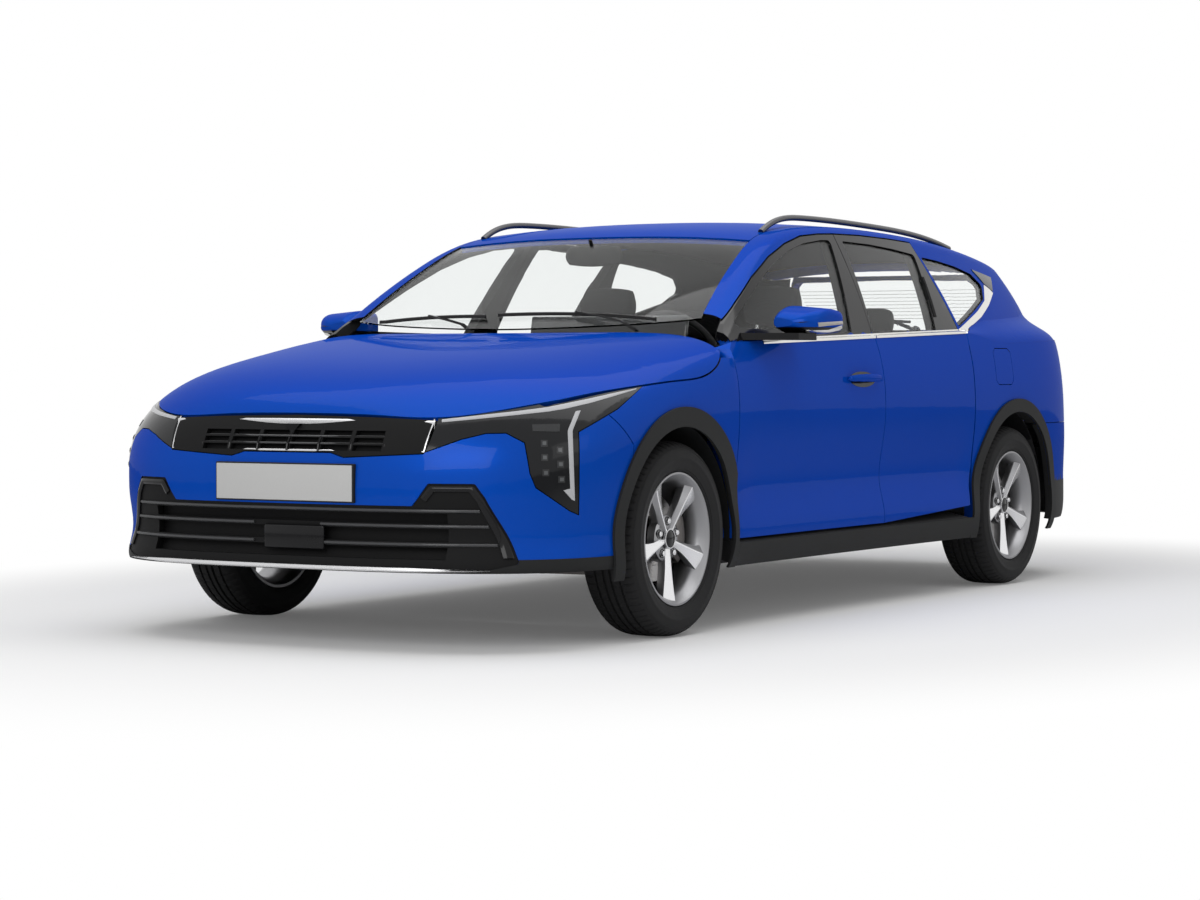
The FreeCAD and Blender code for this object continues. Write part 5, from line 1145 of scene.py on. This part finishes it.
def tail_detail(settings):
    """Light bar, lamp lines, plate, grip, trim, brake lamp, heater lines and wiper of the tail."""
    gate = Skin("tailgate", "tailgate_glass")
    rear = Skin("rear_bumper")
    bar = level_band(gate.back, 0.560, 0.858, 0.884, 90, 5, -0.002, 0.005, 0.003)
    make("tail_bar", *bar, "tail", "tailgate", "tail_lens")
    line = level_band(gate.back, 0.556, 0.868, 0.874, 90, 3, 0.004, 0.0105)
    make("tail_bar_line", *line, "tail_lit", "tailgate", "tail_lens")
    lamp = Skin("tail_lamps", "body_side_left", "body_side_right")
    for side, sign in SIDES:
        strips = []
        for z0, z1 in ((0.884, 0.889), (0.850, 0.855), (0.816, 0.821)):
            strips.append(skin_band(
                lambda x, z, sign=sign: lamp.side(x, z, sign), [(-2.060, z0 - 0.004), (-2.200, z0)],
                [(-2.060, z1 - 0.004), (-2.200, z1)], 24, 3, -0.001, 0.0022, 0.001))
        make("tail_lamp_lines_" + side, *join(strips), "tail_lit", "body", "tail_lens")
        reflector = skin_band(rear.back, [(0.480 * sign, 0.470), (0.660 * sign, 0.470)],
                              [(0.480 * sign, 0.488), (0.660 * sign, 0.488)], 20, 4, -0.001, 0.003, 0.0015)
        make("reflector_" + side, *reflector, "tail", "body", "tail_lens")
    place, normal = gate.back(0.0, settings.rear_plate_height)
    tilt = Matrix.Translation(place + normal * 0.006) @ Matrix.Rotation(math.atan2(normal.z, -normal.x), 4, "Y")
    carrier = rounded_box((0.010, 0.530, 0.121), 0.003, (0.003, 0, 0), 2)
    make("plate_carrier_rear", *placed(carrier, tilt), "plastic", "tailgate", "dark_plastic")
    plate = rounded_box(PLATE_SIZE, 0.0015, (-0.0035, 0, 0), 2)
    make("number_plate_rear", *placed(plate, tilt), "plate", "tailgate", "dark_plastic")
    grip = level_band(gate.back, 0.300, 0.800, 0.822, 40, 5, -0.002, 0.012, 0.004)
    make("gate_grip", *grip, "gloss_black", "tailgate", "black_trim")
    low, high = [(-0.560, 0.300), (0.560, 0.300)], [(-0.590, 0.330), (0.590, 0.330)]
    skid = skin_band(rear.back, low, high, 60, 5, -0.002, 0.005, 0.003)
    make("rear_skid_trim", *skid, "silver", "body", "alloy")
    brake = level_band(gate.back, 0.170, 1.2500, 1.2580, 24, 3, -0.001, 0.003)
    make("high_brake_lamp", *brake, "tail", "tailgate", "tail_lens")
    pane = Skin("tailgate_glass")
    lines = []
    low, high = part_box("tailgate_glass")
    for k in range(9):
        z = between(low[2] + 0.050, high[2] - 0.045, k / 8)
        lines.append(level_band(pane.back, 0.430, z, z + 0.0012, 24, 2, -0.0002, 0.0004))
    make("heater_lines", *join(lines), "heater", "tailgate", "dark_plastic")
    blade = []
    for i in range(21):
        y = between(0.030, -0.310, i / 20)
        place, normal = pane.back(y, low[2] + 0.030 + 0.020 * i / 20)
        if place is not None:
            blade.append(place + normal * 0.009)
    blade_section = [(0.006, -0.005), (0.004, 0.005), (-0.004, 0.005), (-0.006, -0.005)]
    wiper = swept(blade, blade_section, Vector((-1, 0, 0)))
    hub_line = [(0.0004, 0.0), (0.020, 0.0), (0.022, -0.006), (0.020, -0.026), (0.0004, -0.028)]
    hub = turned(hub_line, 30, Vector((0, 0, 0)))
    place, normal = gate.back(0.030, low[2] - 0.012)
    hub = placed(hub, Matrix.Translation(place) @ (-normal).to_track_quat("Y", "Z").to_matrix().to_4x4())
    elbow = place.lerp(blade[10], 0.5) + normal * 0.026
    arm = swept([place + normal * 0.020, elbow, blade[10] + normal * 0.006],
                [(0.008, -0.003), (0.006, 0.004), (-0.006, 0.004), (-0.008, -0.003)], Vector((-1, 0, 0)))
    make("rear_wiper", *join([wiper, hub, arm]), "gloss_black", "tailgate", "black_trim")


# Wheel arches

LINER_R = 0.371


def arch_liners():
    """Dark shells over the front tyres, clear of them at full lock."""
    for side, sign in SIDES:
        centre = Vector((FRONT_AXLE, 0, AXLE_Z))
        rings = []
        for i in range(65):
            angle = math.radians(between(-4, 184, i / 64))
            c, s = math.cos(angle), math.sin(angle)
            rings.append([
                centre + Vector((r * c, y * sign, r * s))
                for r, y in ((LINER_R, 0.872), (LINER_R + 0.002, 0.872), (LINER_R + 0.002, 0.488),
                             (0.150, 0.488), (0.150, 0.491), (LINER_R, 0.491))
            ])
        make("arch_liner_front_" + side, *lofted(rings), "plastic", "body", "dark_plastic")


# Cabin


CLOTH_FRAMES = 18
CLOTH_PRESSURE = 4.0
CLOTH_VOXEL = 0.011
SEAM_WIDTH = 0.006


def pad_shape(size, crown, waist):
    """A crowned cushion about its own middle, with sides drawn in between its corners."""
    length, width, height = (s / 2 for s in size)
    bm = bmesh.new()
    bmesh.ops.create_cube(bm, size=2.0)
    bmesh.ops.subdivide_edges(bm, edges=bm.edges[:], cuts=11, use_grid_fill=True)
    for v in bm.verts:
        x, y, z = v.co
        fx, fy, fz = 1 - x * x, 1 - y * y, 1 - z * z
        rx = x * math.sqrt(1 - 0.16 * y * y - 0.22 * z * z)
        ry = y * math.sqrt(1 - 0.16 * x * x - 0.22 * z * z)
        rz = z * math.sqrt(1 - 0.10 * x * x - 0.10 * y * y)
        v.co = Vector((
            rx * (length - waist * fy * (1 - fz)), ry * (width - waist * fx * (1 - fz)),
            rz * height * (1 + crown * fx * fy),
        ))
    bm.verts.index_update()
    verts = [v.co.copy() for v in bm.verts]
    faces = [tuple(v.index for v in f.verts) for f in bm.faces]
    bm.free()
    return verts, faces


def pad(size, crown, waist, centre, turn=0.0):
    """A crowned form at its place, turned about Y."""
    seat = Matrix.Translation(Vector(centre)) @ Matrix.Rotation(turn, 4, "Y")
    return placed(pad_shape(size, crown, waist), seat)


def shown_mesh(obj):
    """The object's mesh with its modifiers applied."""
    graph = bpy.context.evaluated_depsgraph_get()
    return bpy.data.meshes.new_from_object(obj.evaluated_get(graph), depsgraph=graph)


def puffed(part, cap):
    """The cushion blown up by a short cloth run; no point moves further than cap."""
    scene = bpy.context.scene
    mesh = bpy.data.meshes.new("cushion_start")
    mesh.from_pydata([tuple(v) for v in part[0]], [], part[1])
    start = bpy.data.objects.new("cushion_start", mesh)
    scene.collection.objects.link(start)
    voxels = start.modifiers.new("voxels", "REMESH")
    voxels.mode = "VOXEL"
    voxels.voxel_size = CLOTH_VOXEL
    cover = bpy.data.objects.new("cushion_cover", shown_mesh(start))
    scene.collection.objects.link(cover)
    cloth = cover.modifiers.new("cloth", "CLOTH")
    cloth.settings.quality = 4
    cloth.settings.use_pressure = True
    cloth.settings.uniform_pressure_force = CLOTH_PRESSURE
    cloth.settings.effector_weights.gravity = 0.0
    cloth.point_cache.frame_start = 1
    cloth.point_cache.frame_end = CLOTH_FRAMES
    for number in range(1, CLOTH_FRAMES + 1):
        scene.frame_set(number)
    blown = shown_mesh(cover)
    verts = []
    for old, new in zip(cover.data.vertices, blown.vertices):
        move = new.co - old.co
        if move.length > cap:
            move *= cap / move.length
        verts.append(old.co + move)
    faces = [tuple(p.vertices) for p in blown.polygons]
    scene.frame_set(1)
    for obj in (start, cover):
        bpy.data.objects.remove(obj)
    return verts, faces


def seamed(part, seams, depth):
    """The cushion with channels sunk where a coordinate meets a seam's place."""
    mesh = bpy.data.meshes.new("seams")
    mesh.from_pydata([tuple(v) for v in part[0]], [], part[1])
    verts = []
    for v in mesh.vertices:
        sink = 0.0
        for axis, at in seams:
            sink = max(sink, math.exp(-(((v.co[axis] - at) / SEAM_WIDTH) ** 2)))
        verts.append(v.co - v.normal * depth * sink)
    bpy.data.meshes.remove(mesh)
    return verts, part[1]


def cushion(size, crown, waist, seams, cap=0.007, depth=0.004):
    """A sewn cushion about its own middle."""
    part = pad_shape([s - cap for s in size], crown, waist)
    part = puffed(part, cap)
    return seamed(part, seams, depth)


def set_cushion(name, part, centre, turn, material, sides=SIDES):
    """Place a cushion, mirrored on the car's right where sides asks for both."""
    matrix = Matrix.Translation(Vector(centre)) @ Matrix.Rotation(turn, 4, "Y")
    for side, sign in sides:
        mesh = flipped(placed(part, matrix), sign)
        piece = make("%s_%s" % (name, side), *mesh, material, "body", "seat_cloth")


SEAT_Y = 0.360
SEAT_SIDE_Y = 0.202


def front_seats():
    """Front seats: cushion, back, side bolsters, head restraint and its posts."""
    recline = math.radians(-18)
    seat = cushion((0.470, 0.325, 0.110), 0.10, 0.006, [(0, 0.090), (0, -0.060), (1, 0.120), (1, -0.120)])
    back = cushion((0.110, 0.335, 0.560), 0.02, 0.006, [(2, 0.150), (2, -0.120), (1, 0.122), (1, -0.122)])
    head = cushion((0.078, 0.240, 0.150), 0.06, 0.004, [(0, 0.0)])
    bolster = cushion((0.480, 0.090, 0.130), 0.04, 0.003, [(1, 0.0)], 0.005, 0.002)
    wing = cushion((0.130, 0.086, 0.540), 0.03, 0.003, [(1, 0.0)], 0.005, 0.002)
    set_cushion("seat_cushion", seat, (0.120, SEAT_Y, 0.412), math.radians(-5), "cloth")
    set_cushion("seat_back", back, (-0.130, SEAT_Y, 0.700), recline, "cloth")
    set_cushion("seat_head", head, (-0.238, SEAT_Y, 1.098), math.radians(-8), "cloth")
    for edge, mark in ((-1, "inner"), (1, "outer")):
        y = SEAT_Y + edge * SEAT_SIDE_Y
        set_cushion("seat_bolster_" + mark, bolster, (0.110, y, 0.422), math.radians(-5), "hide")
        set_cushion("seat_wing_" + mark, wing, (-0.118, y, 0.690), recline, "hide")
    for side, sign in SIDES:
        y = SEAT_Y * sign
        posts = [
            swept([Vector((-0.212, y + gap, 0.955)), Vector((-0.232, y + gap, 1.040))], oval(0.006, 0.006),
                  Vector((1, 0, 0)))
            for gap in (-0.060, 0.060)
        ]
        make("head_posts_" + side, *join(posts), "silver", "body", "alloy")
        shell = pad((0.045, 0.420, 0.600), 0.02, 0.004, (-0.196, y, 0.690), recline)
        make("seat_shell_" + side, *shell, "inner", "body", "dark_plastic")
        base = rounded_box((0.390, 0.420, 0.090), 0.012, (0.125, y, 0.282))
        make("seat_base_" + side, *base, "inner", "body", "dark_plastic")


def rear_seats():
    """Rear bench: three places with their head restraints."""
    middle = (("middle", 1),)
    seat = cushion((0.390, 0.365, 0.085), 0.10, 0.005, [(0, 0.080), (0, -0.060)])
    back = cushion((0.085, 0.330, 0.480), 0.03, 0.005, [(2, 0.110), (2, -0.110)])
    head = cushion((0.064, 0.205, 0.118), 0.06, 0.003, [(0, 0.0)])
    for sides, y, back_y in ((SIDES, 0.388, 0.334), (middle, 0.0, 0.0)):
        set_cushion("rear_cushion", seat, (-0.745, y, 0.425), math.radians(-4), "cloth", sides)
        set_cushion("rear_back", back, (-0.985, back_y, 0.700), math.radians(-12), "cloth", sides)
        set_cushion("rear_head", head, (-1.048, y * 0.98, 1.046), math.radians(-6), "cloth", sides)
    shell = rounded_box((0.020, 1.000, 0.560), 0.008, (0, 0, 0))
    turn = Matrix.Translation(Vector((-1.050, 0, 0.690))) @ Matrix.Rotation(math.radians(-12), 4, "Y")
    make("rear_seat_shell", *placed(shell, turn), "inner", "body", "dark_plastic")


def steering_wheel():
    """Leather rim, three spokes and a bare hub."""
    tilt = math.radians(25)
    hub = Vector((0.560, 0.370, 0.880))
    axis = Vector((-math.cos(tilt), 0, math.sin(tilt)))
    frame_matrix = Matrix.Translation(hub + axis * 0.040) @ axis.to_track_quat("Z", "X").to_matrix().to_4x4()
    rim = []
    for i in range(72):
        a = 2 * math.pi * i / 72
        flat = 1.0 - 0.05 * max(0.0, -math.cos(a)) ** 6
        thick = 0.0140 + 0.0016 * math.cos(4 * a)
        ring = []
        for b, c in oval(thick, thick * 0.95, 12):
            r = 0.173 * flat + b
            ring.append(Vector((r * math.cos(a), r * math.sin(a), c)))
        rim.append(ring)
    parts = [lofted(rim, closed_path=True)]
    make("steering_rim", *placed(join(parts), frame_matrix), "hide", "steering_wheel", "dark_plastic",
         parent_nodes=("steering_wheel",))
    spokes = []
    for angle in (90, -90, 180):
        bar = rounded_box((0.120, 0.034, 0.010), 0.003, (0.108, 0, -0.004))
        spokes.append(placed(bar, Matrix.Rotation(math.radians(angle), 4, "Z")))
    make("steering_spokes", *placed(join(spokes), frame_matrix), "silver", "steering_wheel", "alloy")
    boss = pad((0.130, 0.150, 0.040), 0.25, 0.004, (0, 0, 0.004))
    make("steering_boss", *placed(boss, frame_matrix), "inner", "steering_wheel", "dark_plastic")
    shaft = swept([hub + axis * 0.02, hub - axis * 0.050], oval(0.024, 0.024, 20), Vector((0, 1, 0)))
    make("steering_shaft", *shaft, "inner", "steering_wheel", "dark_plastic")


def cabin_fittings():
    """Screen, top of the dashboard, console, armrest and interior mirror."""
    screen = rounded_box((0.016, 0.640, 0.125), 0.006, (0, 0, 0), 3)
    at = Matrix.Translation(Vector((0.735, 0.215, 0.985))) @ Matrix.Rotation(math.radians(-12), 4, "Y")
    make("dash_screen", *placed(screen, at), "screen", "body", "black_trim")
    hood_pad = pad((0.260, 1.300, 0.050), 0.4, 0.006, (0.850, 0, 0.930), math.radians(4))
    make("dash_top", *hood_pad, "inner", "body", "dark_plastic")
    console = rounded_box((0.900, 0.190, 0.190), 0.02, (0.150, 0, 0.318))
    make("centre_console", *console, "inner", "body", "dark_plastic")
    armrest = pad((0.260, 0.160, 0.060), 0.1, 0.003, (-0.120, 0, 0.440))
    make("armrest", *armrest, "hide", "body", "seat_cloth")
    interior_mirror = pad((0.024, 0.240, 0.066), 0.2, 0.002, (0.470, 0, 1.270))
    make("interior_mirror", *interior_mirror, "inner", "body", "dark_plastic")
    stalk = swept([Vector((0.474, 0, 1.29)), Vector((0.500, 0, 1.328))], oval(0.007, 0.007))
    make("mirror_stalk", *stalk, "inner", "body", "dark_plastic")


# Stage


def floor_material(settings):
    """Pale floor under the car that turns into plain white away from it."""
    material, tree, bsdf = shader("studio_floor")
    set_inputs(bsdf, color=(0.93, 0.93, 0.93), rough=0.9, specular=0.1)
    nodes, links = tree.nodes, tree.links
    place = nodes.new("ShaderNodeNewGeometry")
    squeeze = nodes.new("ShaderNodeMapping")
    squeeze.inputs["Scale"].default_value = (1 / 3.2, 1 / 2.2, 0.0)
    links.new(place.outputs["Position"], squeeze.inputs["Vector"])
    far = nodes.new("ShaderNodeVectorMath")
    far.operation = "LENGTH"
    links.new(squeeze.outputs["Vector"], far.inputs[0])
    fade = nodes.new("ShaderNodeMapRange")
    fade.interpolation_type = "SMOOTHSTEP"
    fade.inputs["From Min"].default_value = 0.9
    fade.inputs["From Max"].default_value = 1.5
    fade.inputs["To Min"].default_value = settings.floor_lift
    links.new(far.outputs["Value"], fade.inputs["Value"])
    path = nodes.new("ShaderNodeLightPath")
    shown = nodes.new("ShaderNodeMath")
    shown.operation = "MAXIMUM"
    links.new(path.outputs["Is Camera Ray"], shown.inputs[0])
    links.new(path.outputs["Is Transmission Ray"], shown.inputs[1])
    share = nodes.new("ShaderNodeMath")
    share.operation = "MULTIPLY"
    links.new(fade.outputs["Result"], share.inputs[0])
    links.new(shown.outputs["Value"], share.inputs[1])
    white = nodes.new("ShaderNodeEmission")
    mix = nodes.new("ShaderNodeMixShader")
    links.new(share.outputs["Value"], mix.inputs["Fac"])
    links.new(bsdf.outputs["BSDF"], mix.inputs[1])
    links.new(white.outputs["Emission"], mix.inputs[2])
    links.new(mix.outputs["Shader"], nodes["Material Output"].inputs["Surface"])
    return material


def stage(settings):
    size = settings.floor_size
    mesh = bpy.data.meshes.new("studio_floor")
    corners = [(-size, -size, 0), (size, -size, 0), (size, size, 0), (-size, size, 0)]
    mesh.from_pydata(corners, [], [(0, 1, 2, 3)])
    floor = bpy.data.objects.new("studio_floor", mesh)
    bpy.context.scene.collection.objects.link(floor)
    floor.data.materials.append(floor_material(settings))
    world = bpy.data.worlds.new("studio")
    bpy.context.scene.world = world
    world.use_nodes = True
    nodes, links = world.node_tree.nodes, world.node_tree.links
    background = nodes["Background"]
    background.inputs["Color"].default_value = (1, 1, 1, 1)
    path = nodes.new("ShaderNodeLightPath")
    first = nodes.new("ShaderNodeMath")
    first.operation = "MAXIMUM"
    links.new(path.outputs["Is Camera Ray"], first.inputs[0])
    links.new(path.outputs["Is Transmission Ray"], first.inputs[1])
    second = nodes.new("ShaderNodeMath")
    second.operation = "MAXIMUM"
    links.new(first.outputs[0], second.inputs[0])
    links.new(path.outputs["Is Glossy Ray"], second.inputs[1])
    level = nodes.new("ShaderNodeMapRange")
    level.inputs["To Min"].default_value = settings.ambient
    level.inputs["To Max"].default_value = 1.0
    links.new(second.outputs[0], level.inputs["Value"])
    links.new(level.outputs["Result"], background.inputs["Strength"])
    lamps = (
        ("overhead", (0.3, 0.3, 5.0), (0, 0, 0), (8.0, 5.0), settings.overhead_watts),
        ("key", (7.5, 1.5, 3.2), (1.5, 0, 0.6), (4.0, 3.0), settings.key_watts),
        ("fill", (1.0, 7.0, 3.0), (0.3, 0, 0.6), (4.0, 2.0), settings.fill_watts),
    )
    for name, at, to, (across, up), watts in lamps:
        light = bpy.data.lights.new(name, "AREA")
        light.shape = "RECTANGLE"
        light.size, light.size_y = across, up
        light.energy = watts
        light.specular_factor = 0.6
        obj = bpy.data.objects.new(name, light)
        bpy.context.scene.collection.objects.link(obj)
        obj.location = at
        obj.rotation_euler = (Vector(to) - Vector(at)).to_track_quat("-Z", "Y").to_euler()
    camera = bpy.data.cameras.new("camera")
    camera.lens = LENS
    camera.sensor_width = SENSOR
    view = bpy.data.objects.new("camera", camera)
    bpy.context.scene.collection.objects.link(view)
    view.location = CAMERA_AT
    view.rotation_euler = CAMERA_TURN
    bpy.context.scene.camera = view
    bpy.context.scene.view_settings.view_transform = "Standard"


# The add-on's settings, operators and panel


class WagonFinish(bpy.types.PropertyGroup):
    paint_color: FloatVectorProperty(
        name="Paint", description="Body colour", subtype="COLOR", default=(0.0015, 0.060, 0.415), min=0, max=1
    )
    moulding_color: FloatVectorProperty(
        name="Mouldings", description="Wheel arch and sill plastic", subtype="COLOR",
        default=(0.014, 0.0145, 0.015), min=0, max=1,
    )
    glass_color: FloatVectorProperty(
        name="Glass", description="Window tint at each face of a pane", subtype="COLOR",
        default=(0.945, 0.96, 0.955), min=0, max=1,
    )


class WagonTrim(bpy.types.PropertyGroup):
    strip_width: FloatProperty(
        name="Belt strip", description="Height of the satin strip", default=0.017, unit="LENGTH"
    )
    bar_height: FloatProperty(
        name="Grille bar", description="Height of the bar along the grille's top", default=0.7, unit="LENGTH"
    )
    rear_plate_height: FloatProperty(
        name="Rear plate", description="Height of the middle of the rear number plate", default=0.730,
        unit="LENGTH"
    )
    plate_at: FloatVectorProperty(
        name="Plate", description="Middle of the front number plate", default=(2.3455, 0.0, 0.513),
        subtype="TRANSLATION"
    )


class WagonStage(bpy.types.PropertyGroup):
    floor_size: FloatProperty(name="Floor", description="Half the floor's width", default=40.0, unit="LENGTH")
    floor_lift: FloatProperty(
        name="Floor lift", description="Share of plain white in the floor at the car", default=0.10
    )
    ambient: FloatProperty(name="Ambient", description="Strength of the surrounding light", default=0.34)
    overhead_watts: FloatProperty(name="Overhead", description="Power of the overhead softbox", default=190.0)
    key_watts: FloatProperty(name="Key", description="Power of the softbox ahead of the car", default=150.0)
    fill_watts: FloatProperty(name="Fill", description="Power of the softbox at the left", default=20.0)


class WAGON_OT_body(bpy.types.Operator):
    """Give the frame's own pieces their finish"""

    bl_idname = "wagon.body"
    bl_label = "Body finish"

    def execute(self, context):
        make_materials(context.scene.wagon_finish)
        dress_nodes()
        return {"FINISHED"}


class WAGON_OT_wheels(bpy.types.Operator):
    """Build rims, tyres, discs and calipers"""

    bl_idname = "wagon.wheels"
    bl_label = "Wheels"

    def execute(self, context):
        for side, sign in SIDES:
            road_wheel("front_" + side, FRONT_AXLE, sign, "road_wheel_front_" + side)
            road_wheel("rear_" + side, REAR_AXLE, sign, "road_wheel_rear_" + side)
            caliper("front_" + side, FRONT_AXLE, sign, "steer_" + side, -1)
            caliper("rear_" + side, REAR_AXLE, sign, "body", 1)
        return {"FINISHED"}


class WAGON_OT_trim(bpy.types.Operator):
    """Lay the belt strips, pillar panels and door handles"""

    bl_idname = "wagon.trim"
    bl_label = "Side trim"

    def execute(self, context):
        belt_strips(context.scene.wagon_trim)
        door_handles()
        return {"FINISHED"}


class WAGON_OT_nose(bpy.types.Operator):
    """Build the grille bar, plate, radar cover and the lamps' insides"""

    bl_idname = "wagon.nose"
    bl_label = "Nose and lamps"

    def execute(self, context):
        nose_trim(context.scene.wagon_trim)
        grille_detail()
        intake_detail()
        headlamps()
        return {"FINISHED"}


class WAGON_OT_glass(bpy.types.Operator):
    """Fit the mirrors' strips, indicators and glass, and the wipers"""

    bl_idname = "wagon.glass"
    bl_label = "Mirrors and wipers"

    def execute(self, context):
        mirrors()
        wipers()
        return {"FINISHED"}


class WAGON_OT_tail(bpy.types.Operator):
    """Build the tail's lamps, plate, grip, wiper and trim"""

    bl_idname = "wagon.tail"
    bl_label = "Tail"

    def execute(self, context):
        tail_detail(context.scene.wagon_trim)
        return {"FINISHED"}


class WAGON_OT_arches(bpy.types.Operator):
    """Line the front wheel arches"""

    bl_idname = "wagon.arches"
    bl_label = "Arch liners"

    def execute(self, context):
        arch_liners()
        return {"FINISHED"}


class WAGON_OT_cabin(bpy.types.Operator):
    """Build the seats, steering wheel and fittings"""

    bl_idname = "wagon.cabin"
    bl_label = "Cabin"

    def execute(self, context):
        front_seats()
        rear_seats()
        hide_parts("front_seats")
        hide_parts("rear_bench")
        steering_wheel()
        cabin_fittings()
        return {"FINISHED"}


class WAGON_OT_stage(bpy.types.Operator):
    """Set the floor, lights and camera"""

    bl_idname = "wagon.stage"
    bl_label = "Stage"

    def execute(self, context):
        stage(context.scene.wagon_stage)
        return {"FINISHED"}


class WAGON_PT_panel(bpy.types.Panel):
    """Sizes, colours and the steps that build the car's looks"""

    bl_idname = "WAGON_PT_panel"
    bl_label = "Station wagon"
    bl_space_type = "VIEW_3D"
    bl_region_type = "UI"
    bl_category = "Wagon"

    def draw(self, context):
        for group in (context.scene.wagon_finish, context.scene.wagon_trim, context.scene.wagon_stage):
            for key in group.__annotations__:
                self.layout.prop(group, key)
        for step in STEPS:
            self.layout.operator("wagon." + step)


STEPS = ("body", "wheels", "arches", "trim", "nose", "glass", "tail", "cabin", "stage")
CLASSES = (
    WagonFinish, WagonTrim, WagonStage, WAGON_OT_body, WAGON_OT_wheels, WAGON_OT_trim, WAGON_OT_nose,
    WAGON_OT_arches, WAGON_OT_glass, WAGON_OT_tail, WAGON_OT_cabin, WAGON_OT_stage, WAGON_PT_panel,
)


def register():
    for cls in CLASSES:
        bpy.utils.register_class(cls)
    bpy.types.Scene.wagon_finish = PointerProperty(type=WagonFinish)
    bpy.types.Scene.wagon_trim = PointerProperty(type=WagonTrim)
    bpy.types.Scene.wagon_stage = PointerProperty(type=WagonStage)


def unregister():
    del bpy.types.Scene.wagon_finish
    del bpy.types.Scene.wagon_trim
    del bpy.types.Scene.wagon_stage
    for cls in reversed(CLASSES):
        bpy.utils.unregister_class(cls)


def main():
    register()
    for step in STEPS:
        getattr(bpy.ops.wagon, step)()


if __name__ == "__main__":
    main()
